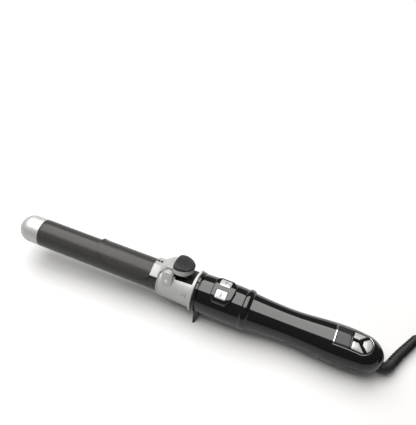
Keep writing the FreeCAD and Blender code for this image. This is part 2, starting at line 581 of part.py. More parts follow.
def build_front_works():
    bearing = tube("front_bearing", "dims.stand_bore", "dims.shaft_radius + 0.05", "203.0", "209.4")
    node(bearing, "front_bearing")
    node(tube("bearing_carrier", "16.3", "dims.stand_bore", "205.2", "209.4"), "bearing_carrier")
    node(block("brush_holder", "212.4", "219.2", "4.6", "-15.2", "-10.6"), "brush_holder")
    brushes = [post(f"brush_{index}", "0.8", str(station), "0", "-10.6", "-dims.shaft_radius - 2.2")
               for index, station in enumerate((214.1, 217.7))]
    node(fuse("brushes", *brushes), "brushes")
    node(block("pod_board", "214.5", "227.6", "6.2", "13.9", "15.1"), "pod_board")
    switches = [post(f"pod_switch_{index}", "1.4", str(POD_BUTTON_STATION), str(5.0 * side), "15.1", "16.3")
                for index, side in enumerate((-1, 1))]
    node(fuse("pod_switches", *switches), "pod_switches")


def build_drive():
    axis_z = "-dims.gear_offset"
    mount = rod("mount_disc", "15.3", "228.0", "dims.gearbox_start")
    node(cut("motor_mount", mount, rod("mount_hole", "2.4", "227", "231", "0", axis_z)), "motor_mount")
    gearbox = rod("gearbox_body", "dims.gearbox_radius", "dims.gearbox_start", "dims.motor_start", "0",
                  axis_z)
    shaft_bore = rod("gearbox_bore", "1.25", "dims.gearbox_start - 1", "236", "0", axis_z)
    node(cut("gearbox", gearbox, shaft_bore), "gearbox")
    can = rod("motor_can", "dims.motor_radius", "dims.motor_start", "dims.motor_end - 1", "0", axis_z)
    node(can, "motor_can")
    node(block("main_board", "276", "321", "10.4", "-1.6", "0"), "main_board")


def build_panel_works():
    node(block("control_board", "329.5", "357.5", "8.8", "8.4", "9.6"), "control_board")
    node(block("lcd_module", "329.5", "338.6", "7.0", "9.6", "14.0"), "lcd_module")
    places = ((345.0, -4.6, 13.6), (345.0, 4.6, 13.6), (354.6, 0, 11.9))
    switches = [post(f"panel_switch_{index}", "1.5", str(station), str(y), "9.6", str(top))
                for index, (station, y, top) in enumerate(places)]
    node(fuse("panel_switches", *switches), "panel_switches")
    drop = "-dims.exit_drop"
    socket = rod("socket_body", "6.0", "350.2", "360", "0", drop)
    wide = rod("socket_room", "5.0", "351.6", "356.6", "0", drop)
    narrow = rod("socket_neck", "3.5", "356", "361", "0", drop)
    wires = rod("socket_wires", "2.2", "349", "352", "0", drop)
    node(cut("swivel_socket", socket, wide, narrow, wires), "swivel_socket")
    node(fuse("swivel_stem", rod("stem_flange", "4.7", "352", "356", "0", drop),
              rod("stem_neck", "3.2", "355", "361", "0", drop)), "swivel_stem")


# ---------------------------------------------------------------- cord, in world axes
BOOT_RADIUS = 5.2
BOOT_ROUTE = [(161.5, 0.0, 9.3), (176.0, -1.4, 7.6), (184.0, 15.8, 5.9), (196.6, 39.3, 5.3)]
LEAD_ROUTE = [(196.6, 39.3, 5.3), (200.6, 46.6, 4.6), (217.4, 63.5, 3.28)]
# The cord's end climbs over the coil to the plug that lies on it: offsets from the coil's centre.
CLIMB = [(-8.3, 33.0, 17.4), (5.6, 34.5, 20.2), (18.9, 30.2, 22.9), (29.3, 20.8, 25.0), (35.0, 8.0, 26.4),
         (35.0, -6.0, 26.5)]
COIL_LAYERS = 3


def rounded_route(points, label):
    """Straight runs joined by tangent arcs, each as large as its two runs allow."""
    points = [V(*point) for point in points]
    edges, radii = [], []
    last = points[0]
    for before, corner, after in zip(points, points[1:], points[2:]):
        arriving = (corner - before).normalize()
        leaving = (after - corner).normalize()
        half_turn = arriving.getAngle(leaving) / 2
        setback = 0.45 * min((corner - before).Length, (after - corner).Length)
        radius = setback / math.tan(half_turn)
        radii.append(round(radius, 1))
        start = corner - arriving * setback
        end = corner + leaving * setback
        bisector = (leaving - arriving).normalize()
        middle = corner + bisector * (radius / math.cos(half_turn) - radius)
        edges.append(Part.LineSegment(last, start).toShape())
        edges.append(Part.Arc(start, middle, end).toShape())
        last = end
    edges.append(Part.LineSegment(last, points[-1]).toShape())
    print(label, "arc radii", radii)
    return Part.Wire(edges)


def cord_tube(wire, radius):
    start = wire.Edges[0].firstVertex().Point
    direction = wire.Edges[0].tangentAt(wire.Edges[0].FirstParameter)
    profile = Part.Wire([Part.makeCircle(radius, start, direction)])
    tube_shape = wire.makePipeShell([profile], True, True)
    expected = math.pi * radius ** 2 * wire.Length
    print("tube length", round(wire.Length, 1), "volume ratio", round(tube_shape.Volume / expected, 4))
    return tube_shape


def build_cord():
    radius = size("cord_diameter") / 2
    boot = cord_tube(rounded_route(BOOT_ROUTE, "boot"), BOOT_RADIUS)
    node(freeform("cord_boot", boot), "cord_boot", WORLD)

    turn_radius = size("coil_radius")
    outer_turn = turn_radius + 2 * radius
    end = V(*LEAD_ROUTE[-1])
    heading = (end - V(*LEAD_ROUTE[-2]))
    heading.z = 0
    heading.normalize()
    centre = end + V(heading.y, -heading.x, 0) * outer_turn
    centre.z = 0
    height = COIL_LAYERS * 2 * radius
    coil_outer, coil_inner = outer_turn + radius, turn_radius - 3 * radius
    coil = Part.makeCylinder(coil_outer, height, centre).cut(Part.makeCylinder(coil_inner, height, centre))
    print("coil centre", centre, "outer", coil_outer, "inner", coil_inner, "height", height)
    node(freeform("cord_coil", coil), "cord_coil", WORLD)
    lead = cord_tube(rounded_route(LEAD_ROUTE, "lead"), radius).cut(coil).cut(boot)
    node(freeform("cord_lead", lead), "cord_lead", WORLD)

    plug_length, plug_width, plug_height = 32.0, 26.0, 14.0
    pin_length, pin_radius, pin_spacing = 19.0, 2.0, 19.0
    climb = [(centre.x + x, centre.y + y, level) for x, y, level in CLIMB]
    tail = cord_tube(rounded_route(climb, "tail"), radius)
    plug_back = V(*climb[-1])
    plug = Part.makeBox(plug_width, plug_length, plug_height,
                        plug_back - V(plug_width / 2, plug_length, plug_height / 2))
    plug = plug.makeFillet(3.0, [edge for edge in plug.Edges if abs(edge.tangentAt(0).y) > 0.9])
    node(freeform("cord_tail", tail.cut(coil).cut(plug)), "cord_tail", WORLD)
    pins = [Part.makeCylinder(pin_radius, pin_length, plug_back + V(side * pin_spacing / 2, -plug_length, 0),
                              V(0, -1, 0)) for side in (-1, 1)]
    node(freeform("plug_body", plug), "plug_body", WORLD)
    node(freeform("plug_pins", Part.makeCompound(pins)), "plug_pins", WORLD)
    tie = Part.makeBox(coil_outer - coil_inner + 2.4, 8, height + 1.2,
                       V(centre.x + coil_inner - 1.2, centre.y - 4, 0))
    tie.rotate(centre, Z_AXIS, 250)
    node(freeform("coil_tie", tie.cut(coil)), "coil_tie", WORLD)


def build_all():
    build_barrel()
    build_collar()
    build_rivets()
    build_gears()
    build_clamp()
    build_shells()
    build_trim()
    build_buttons()
    build_stand()
    build_front_works()
    build_drive()
    build_panel_works()
    build_cord()


build_all()
doc.recompute()
for item in nodes:
    state = set(item.State)
    if state & {"Invalid", "Error"} or item.Shape.isNull() or not item.Shape.isValid():
        raise RuntimeError(f"{item.Label}: {item.State} valid={item.Shape.isValid()}")
    item.Shape.exportStep(f"parts/{item.Label}.step")
    bound = item.Shape.BoundBox
    span = [bound.XMin, bound.XMax, bound.YMin, bound.YMax, bound.ZMin, bound.ZMax]
    print(item.Label, len(item.Shape.Solids), round(item.Shape.Volume, 1), [round(edge, 2) for edge in span])
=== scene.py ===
import json
import math

import bmesh
import bpy
import numpy as np
from mathutils import Matrix, Vector


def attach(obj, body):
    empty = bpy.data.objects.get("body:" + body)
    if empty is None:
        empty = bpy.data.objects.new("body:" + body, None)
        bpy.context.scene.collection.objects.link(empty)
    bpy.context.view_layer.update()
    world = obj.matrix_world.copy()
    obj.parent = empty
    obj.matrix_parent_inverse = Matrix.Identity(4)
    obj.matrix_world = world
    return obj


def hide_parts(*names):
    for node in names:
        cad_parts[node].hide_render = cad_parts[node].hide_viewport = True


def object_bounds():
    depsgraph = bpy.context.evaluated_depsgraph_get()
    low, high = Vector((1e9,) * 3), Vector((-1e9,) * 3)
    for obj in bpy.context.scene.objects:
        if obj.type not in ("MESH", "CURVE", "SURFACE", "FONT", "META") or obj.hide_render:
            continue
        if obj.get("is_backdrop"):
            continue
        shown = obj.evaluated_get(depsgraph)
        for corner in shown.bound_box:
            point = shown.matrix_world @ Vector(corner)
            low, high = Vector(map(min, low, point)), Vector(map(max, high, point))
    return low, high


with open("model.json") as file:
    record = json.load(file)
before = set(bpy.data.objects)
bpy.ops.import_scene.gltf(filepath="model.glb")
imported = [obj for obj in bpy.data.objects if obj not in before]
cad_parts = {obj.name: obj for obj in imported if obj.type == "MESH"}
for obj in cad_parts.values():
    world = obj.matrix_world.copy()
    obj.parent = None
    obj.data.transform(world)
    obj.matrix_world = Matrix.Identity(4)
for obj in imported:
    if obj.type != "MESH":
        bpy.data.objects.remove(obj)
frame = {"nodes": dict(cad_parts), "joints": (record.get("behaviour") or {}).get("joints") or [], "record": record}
cad_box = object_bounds()

MM = 0.001
TAU = 2 * math.pi

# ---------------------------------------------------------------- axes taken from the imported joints
JOINTS = {joint["name"]: joint for joint in frame["joints"]}
SPIN_STATION = 140.6      # station of the spin joint's point, in mm from the barrel's tip
ALONG = Vector(JOINTS["barrel_spin"]["axis"]).normalized()
TIP = Vector(JOINTS["barrel_spin"]["pos_m"]) - ALONG * SPIN_STATION * MM


def axes(across):
    """Matrix from (station, across, up) in mm to the row frame in metres."""
    across = Vector(across).normalized()
    up = ALONG.cross(across)
    columns = Matrix((ALONG, across, up)).transposed().to_4x4()
    return Matrix.Translation(TIP) @ columns @ Matrix.Scale(MM, 4)


HANDLE = axes((0, 1, 0))
BARREL = axes(JOINTS["clamp_open"]["axis"])
WORLD = Matrix.Scale(MM, 4)

# ---------------------------------------------------------------- materials


def noise(material, scale, detail=4.0, stretch=None):
    """Noise texture in object space; stretch squeezes it along an axis for brushed or drawn surfaces."""
    nodes, links = material.node_tree.nodes, material.node_tree.links
    coordinates = nodes.new("ShaderNodeTexCoord")
    texture = nodes.new("ShaderNodeTexNoise")
    texture.inputs["Scale"].default_value = scale
    texture.inputs["Detail"].default_value = detail
    source = coordinates.outputs["Object"]
    if stretch:
        mapping = nodes.new("ShaderNodeMapping")
        mapping.inputs["Scale"].default_value = stretch
        links.new(source, mapping.inputs["Vector"])
        source = mapping.outputs["Vector"]
    links.new(source, texture.inputs["Vector"])
    return texture.outputs["Fac"]


def vary(material, socket, source, low, high):
    """Drive a shader input between low and high by a texture."""
    nodes, links = material.node_tree.nodes, material.node_tree.links
    ramp = nodes.new("ShaderNodeMapRange")
    ramp.inputs["From Min"].default_value = 0.3
    ramp.inputs["From Max"].default_value = 0.7
    ramp.inputs["To Min"].default_value = low
    ramp.inputs["To Max"].default_value = high
    links.new(source, ramp.inputs["Value"])
    links.new(ramp.outputs["Result"], socket)


def tint(material, shader, source, dark, light):
    """Vary the base colour between two colours by a texture."""
    nodes, links = material.node_tree.nodes, material.node_tree.links
    ramp = nodes.new("ShaderNodeValToRGB")
    ramp.color_ramp.elements[0].position = 0.35
    ramp.color_ramp.elements[0].color = (*dark, 1)
    ramp.color_ramp.elements[1].position = 0.65
    ramp.color_ramp.elements[1].color = (*light, 1)
    links.new(source, ramp.inputs["Fac"])
    links.new(ramp.outputs["Color"], shader.inputs["Base Color"])


def bump(material, shader, source, distance_mm, strength=1.0):
    nodes, links = material.node_tree.nodes, material.node_tree.links
    node = nodes.new("ShaderNodeBump")
    node.inputs["Strength"].default_value = strength
    node.inputs["Distance"].default_value = distance_mm * MM
    links.new(source, node.inputs["Height"])
    links.new(node.outputs["Normal"], shader.inputs["Normal"])


MATERIALS = {}


def surface(name, color, roughness, metallic=0.0, specular=0.5, polish=None, tones=None, grain=None):
    """Adds a material. polish is roughness as (noise, low, high), tones colour as (noise, dark, light)
    and grain relief as (noise, depth in mm, strength), where a noise is (scale, detail, stretch)."""
    material = bpy.data.materials.new(name)
    material.use_nodes = True
    shader = material.node_tree.nodes["Principled BSDF"]
    shader.inputs["Base Color"].default_value = (*color, 1)
    shader.inputs["Roughness"].default_value = roughness
    shader.inputs["Metallic"].default_value = metallic
    shader.inputs["Specular IOR Level"].default_value = specular
    if polish:
        texture, low, high = polish
        vary(material, shader.inputs["Roughness"], noise(material, *texture), low, high)
    if tones:
        texture, dark, light = tones
        tint(material, shader, noise(material, *texture), dark, light)
    if grain:
        texture, depth, strength = grain
        bump(material, shader, noise(material, *texture), depth, strength)
    MATERIALS[name] = material


LENGTHWAYS = (0.25, 1, 1)      # noise drawn out along the curler

# silver paint of the collar and lever, brighter metal of the end cap, and the barrel's coating
surface("satin_silver", (0.245, 0.245, 0.242), 0.42, metallic=0.2, polish=((350,), 0.38, 0.48),
        tones=((60,), (0.23, 0.23, 0.227), (0.26, 0.26, 0.257)), grain=((4200, 2), 0.012, 0.5))
surface("polished_silver", (0.36, 0.36, 0.355), 0.44, metallic=0.6,
        polish=((600, 4, (1, 0.2, 0.2)), 0.40, 0.48),
        tones=((1500, 2), (0.34, 0.34, 0.335), (0.38, 0.38, 0.375)))
surface("barrel_coating", (0.023, 0.0225, 0.022), 0.26, specular=0.15,
        polish=((300, 4, LENGTHWAYS), 0.22, 0.30),
        tones=((2600, 2), (0.020, 0.0195, 0.019), (0.027, 0.0265, 0.026)), grain=((3000, 2), 0.006, 0.4))
# the handle's gloss, its soft skin, and the thumb pad, cord and plug
surface("gloss_black", (0.004, 0.004, 0.004), 0.05, specular=0.375, polish=((140,), 0.04, 0.09),
        grain=((45, 1), 0.01, 0.15))
surface("grip_matte", (0.026, 0.026, 0.026), 0.5, specular=0.35, polish=((200,), 0.48, 0.6),
        tones=((900, 3), (0.022, 0.022, 0.022), (0.030, 0.030, 0.030)), grain=((2400, 3), 0.03, 0.6))
surface("thumb_rubber", (0.011, 0.011, 0.011), 0.5, specular=0.3, polish=((260,), 0.42, 0.6),
        tones=((700, 3), (0.009, 0.009, 0.009), (0.014, 0.014, 0.014)), grain=((3200, 3), 0.02, 0.5))
surface("cord_rubber", (0.009, 0.009, 0.009), 0.45, specular=0.25, polish=((180,), 0.4, 0.56),
        tones=((500, 3), (0.007, 0.007, 0.007), (0.012, 0.012, 0.012)), grain=((2600, 3), 0.02, 0.4))
surface("plug_black", (0.009, 0.009, 0.009), 0.42, specular=0.25, polish=((240,), 0.36, 0.5),
        grain=((3000, 3), 0.02, 0.5))
# the tail panel: bright frame, dark window, sparkling buttons; and the marks printed on the silver
surface("chrome_trim", (0.50, 0.50, 0.495), 0.1, metallic=1.0, polish=((300,), 0.05, 0.11))
surface("screen_glass", (0.013, 0.013, 0.014), 0.08, specular=0.2,
        tones=((120, 2), (0.012, 0.012, 0.013), (0.015, 0.015, 0.016)))
surface("button_silver", (0.30, 0.30, 0.30), 0.36, metallic=0.3, polish=((900,), 0.24, 0.4),
        tones=((1800, 2), (0.24, 0.24, 0.24), (0.36, 0.36, 0.36)), grain=((2200, 2), 0.03, 0.6))
surface("mark_grey", (0.10, 0.10, 0.10), 0.5, polish=((500,), 0.42, 0.58))
# what is inside or hardly seen
surface("bright_steel", (0.62, 0.62, 0.62), 0.25, metallic=1.0, polish=((500, 4, (1, 1, 8)), 0.2, 0.34))
surface("copper", (0.72, 0.45, 0.25), 0.3, metallic=1.0, polish=((300,), 0.22, 0.4))
surface("heater_aluminium", (0.72, 0.72, 0.72), 0.4, metallic=1.0,
        polish=((400, 4, (0.1, 1, 1)), 0.32, 0.5))
surface("heater_ceramic", (0.75, 0.72, 0.66), 0.7,
        tones=((800,), (0.70, 0.67, 0.61), (0.78, 0.75, 0.69)))
surface("inner_plastic", (0.75, 0.74, 0.70), 0.5, polish=((200,), 0.42, 0.58))
surface("studio_floor", (0.42, 0.42, 0.42), 0.65, specular=0.2,
        tones=((3,), (0.415, 0.415, 0.415), (0.425, 0.425, 0.425)))
surface("board_green", (0.05, 0.22, 0.10), 0.35, tones=((90,), (0.04, 0.18, 0.08), (0.06, 0.25, 0.11)))

# ---------------------------------------------------------------- mesh helpers
SHARP_ANGLE = math.radians(38)


def soften(obj, width_mm):
    """Rounds the sharp edges of a piece by a bevel."""
    modifier = obj.modifiers.new("edges", "BEVEL")
    modifier.width = width_mm * MM
    modifier.segments = 3
    modifier.limit_method = "ANGLE"
    modifier.angle_limit = math.radians(28)
    modifier.harden_normals = True


def piece(name, verts, faces, axes_matrix, body, slot, replaced=(), material=None, bevel=0.0):
    """One visible piece from points in (station, across, up) mm."""
    mesh = bpy.data.meshes.new(name)
    mesh.from_pydata([tuple(v) for v in verts], [], faces)
    mesh.transform(axes_matrix)
    working = bmesh.new()
    working.from_mesh(mesh)
    bmesh.ops.remove_doubles(working, verts=working.verts, dist=1e-7)
    bmesh.ops.recalc_face_normals(working, faces=working.faces)
    working.to_mesh(mesh)
    working.free()
    mesh.shade_smooth()
    mesh.set_sharp_from_angle(angle=SHARP_ANGLE)
    mesh.materials.append(MATERIALS[material or slot])
    obj = bpy.data.objects.new(name, mesh)
    bpy.context.scene.collection.objects.link(obj)
    if bevel:
        soften(obj, bevel)
    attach(obj, body)
    if replaced:
        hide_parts(*replaced)
    return obj


def grid(rows, wrap_columns=False, wrap_rows=False, cap_start=False, cap_end=False):
    """Vertices and faces of a sheet of points given row by row."""
    verts = [point for row in rows for point in row]
    count, width = len(rows), len(rows[0])
    faces = []
    for i in range(count if wrap_rows else count - 1):
        for j in range(width if wrap_columns else width - 1):
            a, b = i * width + j, i * width + (j + 1) % width
            c, d = ((i + 1) % count) * width + (j + 1) % width, ((i + 1) % count) * width + j
            faces.append((a, b, c, d))
    if cap_start:
        faces.append(tuple(reversed(range(width))))
    if cap_end:
        faces.append(tuple((count - 1) * width + j for j in range(width)))
    return verts, faces


def capped(rows):
    """Solid through rings of points, with both ends capped."""
    return grid(rows, wrap_columns=True, cap_start=True, cap_end=True)


def upright(station, y, z):
    return (station, y, z)


def sideways(station, z, y):
    return (station, y, z)


def join(*parts):
    """Several (vertices, faces) lists as one."""
    verts, faces = [], []
    for part_verts, part_faces in parts:
        shift = len(verts)
        verts += list(part_verts)
        faces += [tuple(index + shift for index in face) for face in part_faces]
    return verts, faces


def spline(points, step):
    """Points about one step apart on a smooth curve through the given 2D points."""
    points = np.array(points, float)
    chord = np.r_[0, np.cumsum(np.linalg.norm(np.diff(points, axis=0), axis=1))]
    slopes = np.gradient(points, chord, axis=0)
    result = []
    for i in range(len(points) - 1):
        span = chord[i + 1] - chord[i]
        for t in np.linspace(0, 1, max(2, int(math.ceil(span / step)) + 1))[:-1]:
            result.append((2 * t**3 - 3 * t**2 + 1) * points[i] + (t**3 - 2 * t**2 + t) * span * slopes[i]
                          + (3 * t**2 - 2 * t**3) * points[i + 1] + (t**3 - t**2) * span * slopes[i + 1])
    result.append(points[-1])
    return [tuple(point) for point in result]


def circle(radius, count, middle=(0.0, 0.0)):
    """Points (across, up) round a circle, from the top and towards the far side."""
    return [(middle[0] + radius * math.sin(TAU * k / count), middle[1] + radius * math.cos(TAU * k / count))
            for k in range(count)]


def lathe(profile, segments=128, y=0.0, z=0.0, closed=False):
    """Surface turned about a lengthwise axis from (station, radius) points; closed joins last to first."""
    rows = [[(station, *point) for point in circle(radius, segments, (y, z))] for station, radius in profile]
    return grid(rows, wrap_columns=True, wrap_rows=closed)


def round_outline(corners, radius, steps=6):
    """Closed outline of 2D corners, each rounded."""
    result = []
    count = len(corners)
    for i in range(count):
        corner = Vector(corners[i])
        before = Vector(corners[i - 1]) - corner
        after = Vector(corners[(i + 1) % count]) - corner
        reach = radius[i] if isinstance(radius, (list, tuple)) else radius
        half = before.angle(after) / 2
        setback = min(reach / math.tan(half), 0.48 * before.length, 0.48 * after.length)
        start, end = corner + before.normalized() * setback, corner + after.normalized() * setback
        for k in range(steps + 1):
            t = k / steps
            result.append(tuple((1 - t)**2 * start + 2 * t * (1 - t) * corner + t**2 * end))
    return result


def resample(outline, step):
    """Closed outline with long straight runs cut into steps, so that it can follow a round surface."""
    result = []
    for a, b in zip(outline, outline[1:] + outline[:1]):
        a, b = Vector(a), Vector(b)
        cuts = max(1, int((b - a).length / step))
        result += [tuple(a.lerp(b, k / cuts)) for k in range(cuts)]
    return result


def inset(outline, distance):
    """Closed outline moved inwards by a distance, corner by corner."""
    count = len(outline)
    area = sum(outline[i][0] * outline[(i + 1) % count][1] - outline[(i + 1) % count][0] * outline[i][1]
               for i in range(count))
    turn = 1 if area > 0 else -1
    result = []
    for i in range(count):
        a, b, c = Vector(outline[i - 1]), Vector(outline[i]), Vector(outline[(i + 1) % count])
        first, second = (b - a).normalized(), (c - b).normalized()
        normal = Vector((-first.y - second.y, first.x + second.x)) * turn
        if normal.length < 1e-6:
            normal = Vector((-first.y, first.x)) * turn
        normal.normalize()
        lean = max(0.6, normal.dot(Vector((-first.y, first.x)) * turn))
        result.append(tuple(b + normal * distance / lean))
    return result


def cushion(outline, place, bottom, top, edge, crown=0.0, rings=5, step=0.8):
    """Closed piece over a 2D outline: upright sides, a rounded edge and a crowned top.

    place(a, b, height) puts a 2D point at a height over the surface that the piece lies on.
    """
    outline = resample(outline, step)
    centre = Vector((sum(p[0] for p in outline), sum(p[1] for p in outline))) / len(outline)
    rows = [[place(*p, bottom) for p in outline], [place(*p, top - edge) for p in outline]]
    for k in range(1, 5):
        angle = math.pi / 2 * k / 4
        ring = inset(outline, edge * (1 - math.cos(angle)))
        rows.append([place(*p, top - edge + edge * math.sin(angle)) for p in ring])
    ring = inset(outline, edge)
    for k in range(1, rings + 1):
        share = 1 - k / (rings + 1)
        lift = top + crown * (1 - share**2)
        rows.append([place(*centre.lerp(Vector(p), share), lift) for p in ring])
    verts, faces = grid(rows, wrap_columns=True, cap_start=True)
    last = len(verts)
    verts.append(place(*centre, top + crown))
    width = len(outline)
    base = last - width
    faces += [(base + j, base + (j + 1) % width, last) for j in range(width)]
    return verts, faces


def box(low, high):
    (x0, y0, z0), (x1, y1, z1) = low, high
    verts = [(x, y, z) for z in (z0, z1) for x, y in ((x0, y0), (x1, y0), (x1, y1), (x0, y1))]
    faces = [(0, 3, 2, 1), (4, 5, 6, 7), (0, 1, 5, 4), (1, 2, 6, 5), (2, 3, 7, 6), (3, 0, 4, 7)]
    return verts, faces


def prism(outline, start, end, place):
    """Solid between two copies of an outline; place(a, b, depth) gives the points."""
    rows = [[place(*p, start) for p in outline], [place(*p, end) for p in outline]]
    return capped(rows)

# ---------------------------------------------------------------- handle surface
HANDLE_PROFILE = [
    (202.2, 18.3), (212.0, 18.6), (226.0, 18.6), (240.0, 18.3), (252.0, 16.9), (263.0, 16.0), (274.0, 15.4),
    (285.0, 15.1), (294.0, 15.3), (304.0, 16.0), (314.0, 16.9), (324.0, 17.6), (334.0, 17.9), (344.0, 17.7),
    (352.0, 16.9)]
TAIL_START, TAIL_RADIUS, TAIL_END = 352.0, 16.9, 371.5
BODY_LINE = spline(HANDLE_PROFILE, 0.8)


def tail_point(angle):
    along = (TAIL_END - TAIL_START) * math.sin(angle) ** 1.12
    return TAIL_START + along, TAIL_RADIUS * max(0.0, math.cos(angle)) ** 0.98


TAIL_LINE = [tail_point(math.pi / 2 * k / 40) for k in range(1, 41)]
OUTLINE = BODY_LINE + TAIL_LINE
OUTLINE_S = [p[0] for p in OUTLINE]
OUTLINE_R = [p[1] for p in OUTLINE]


def handle_radius(station):
    return float(np.interp(station, OUTLINE_S, OUTLINE_R))


def on_handle(station, y, offset):
    """Point over the top of the handle at an offset from its surface."""
    radius = handle_radius(station) + offset
    return station, y, math.sqrt(max(0.0, radius**2 - y**2))


def around_handle(station, angle, offset):
    """Point at an angle from straight up, turning towards +y."""
    radius = handle_radius(station) + offset
    return station, radius * math.sin(angle), radius * math.cos(angle)


def cut_away(obj, *cutters, axes_matrix=HANDLE):
    """Take cutters (vertices, faces in mm in the given axes) out of a piece, for good."""
    for index, (verts, faces) in enumerate(cutters):
        mesh = bpy.data.meshes.new("cutter")
        mesh.from_pydata([tuple(v) for v in verts], [], faces)
        mesh.transform(axes_matrix)
        working = bmesh.new()
        working.from_mesh(mesh)
        bmesh.ops.recalc_face_normals(working, faces=working.faces)
        working.to_mesh(mesh)
        working.free()
        cutter = bpy.data.objects.new("cutter", mesh)
        bpy.context.scene.collection.objects.link(cutter)
        modifier = obj.modifiers.new("hole", "BOOLEAN")
        modifier.operation = "DIFFERENCE"
        modifier.solver = "EXACT"
        modifier.object = cutter
        bpy.context.view_layer.update()
        result = bpy.data.meshes.new_from_object(obj.evaluated_get(bpy.context.evaluated_depsgraph_get()))
        obj.modifiers.remove(modifier)
        bpy.data.objects.remove(cutter)
        result.name = obj.data.name
        obj.data = result
    obj.data.shade_smooth()
    obj.data.set_sharp_from_angle(angle=SHARP_ANGLE)


# ---------------------------------------------------------------- camera
def place_camera():
    """Three-quarter view from above on the near side of the tip, as in the reference picture."""
    data = bpy.data.cameras.new("camera")
    data.lens = 44.92
    data.sensor_width = 36
    data.sensor_fit = "HORIZONTAL"
    data.clip_start = 0.01
    camera = bpy.data.objects.new("camera", data)
    right = Vector((0.91712, 0.39637, -0.04218))
    up = Vector((-0.27769, 0.71123, 0.64579))
    back = right.cross(up)
    turn = Matrix((right, up, back)).transposed().to_4x4()
    camera.matrix_world = Matrix.Translation(Vector((125.86, -227.22, 445.06)) * MM) @ turn
    bpy.context.scene.collection.objects.link(camera)
    bpy.context.scene.camera = camera


place_camera()

# ---------------------------------------------------------------- cord, in the row frame (mm, then metres)
CORD_RADIUS = 3.25
BOOT_POINTS = [(161.5, 0.0, 9.3), (168.0, -1.0, 8.5), (177.0, -1.8, 7.5), (183.2, 14.2, 6.1),
               (190.0, 27.0, 5.6), (196.6, 39.3, 5.3)]
LEAD_POINTS = [(193.2, 33.0, 5.4), (196.6, 39.3, 5.2), (200.6, 46.6, 4.4), (209.0, 55.0, 3.6)]
COIL_CENTRE = Vector((247.541, 33.537, 0))
COIL_ENTRY = math.radians(135.2)
COIL_STEPS = 16
COIL_TURNS = [(42.5, 3.3), (36.0, 3.3), (29.5, 3.3), (29.5, 9.75), (36.0, 9.75), (42.5, 9.75), (42.5, 16.25),
              (36.0, 16.25), (29.5, 16.4)]
CLIMB = [(-8.3, 29.5, 17.4), (5.8, 30.4, 20.2), (18.0, 28.4, 22.9), (28.4, 20.6, 25.0), (34.6, 8.0, 26.4),
         (35.0, -6.0, 26.5)]


def coil_points():
    """Control points of the turns: clockwise from the entry, moving over to the next at each one's end."""
    points = []
    turns = len(COIL_TURNS) - 1
    for k in range(turns * COIL_STEPS + 1):
        index, step = divmod(k, COIL_STEPS)
        share = max(0.0, (step / COIL_STEPS - 0.72) / 0.28)
        share = share * share * (3 - 2 * share)
        radius, height = COIL_TURNS[index]
        following = COIL_TURNS[min(index + 1, turns)]
        radius += (following[0] - radius) * share
        height += (following[1] - height) * share
        angle = COIL_ENTRY - TAU * k / COIL_STEPS
        reach = radius / math.cos(math.pi / COIL_STEPS) ** 0.5
        points.append(COIL_CENTRE + Vector((reach * math.cos(angle), reach * math.sin(angle), height)))
    return points


def smooth_line(name, points):
    """Curve with one NURBS spline through control points given in mm."""
    curve = bpy.data.curves.new(name, "CURVE")
    curve.dimensions = "3D"
    curve.resolution_u = 8
    line = curve.splines.new("NURBS")
    line.points.add(len(points) - 1)
    for control, point in zip(line.points, points):
        control.co = (*(Vector(point) * MM), 1)
    line.order_u = 3
    line.use_endpoint_u = True
    obj = bpy.data.objects.new(name, curve)
    bpy.context.scene.collection.objects.link(obj)
    bpy.context.view_layer.update()
    return obj


def line_points(obj):
    """Points along a curve that has no bevel yet, in metres."""
    mesh = bpy.data.meshes.new_from_object(obj.evaluated_get(bpy.context.evaluated_depsgraph_get()))
    points = [vertex.co.copy() for vertex in mesh.vertices]
    bpy.data.meshes.remove(mesh)
    return points


ROUTE = LEAD_POINTS + coil_points() + [COIL_CENTRE + Vector(point) for point in CLIMB]
cord = smooth_line("supply_cord", ROUTE)
centreline = line_points(cord)
boot_curve = smooth_line("boot_line", BOOT_POINTS)
boot_line = line_points(boot_curve)
bpy.data.objects.remove(boot_curve)
cord_length = sum((b - a).length for a, b in zip(centreline, centreline[1:]))
cord.data.bevel_depth = CORD_RADIUS * MM
cord.data.bevel_resolution = 6
cord.data.use_fill_caps = True
cord.data.materials.append(MATERIALS["cord_rubber"])
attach(cord, "swivel")
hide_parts("cord_lead", "cord_coil", "cord_tail")


def sweep(line, section_at):
    """Tube along points in metres; section_at(distance in mm) gives an outline of (side, up) in mm."""
    rows = []
    distance = 0.0
    for i, point in enumerate(line):
        before, after = line[max(0, i - 1)], line[min(len(line) - 1, i + 1)]
        tangent = (after - before).normalized()
        side = tangent.cross(Vector((0, 0, 1))).normalized()
        up = side.cross(tangent)
        if i:
            distance += (point - line[i - 1]).length / MM
        rows.append([point / MM + side * a + up * b for a, b in section_at(distance)])
    return capped(rows)


def resampled(line, step_mm):
    """The same line with points an even step apart."""
    lengths = np.r_[0, np.cumsum([(b - a).length for a, b in zip(line, line[1:])])]
    count = int(lengths[-1] / (step_mm * MM))
    marks = np.linspace(0, lengths[-1], count + 1)
    flat = np.array([list(point) for point in line])
    columns = [np.interp(marks, lengths, flat[:, axis]) for axis in range(3)]
    return [Vector(point) for point in zip(*columns)]


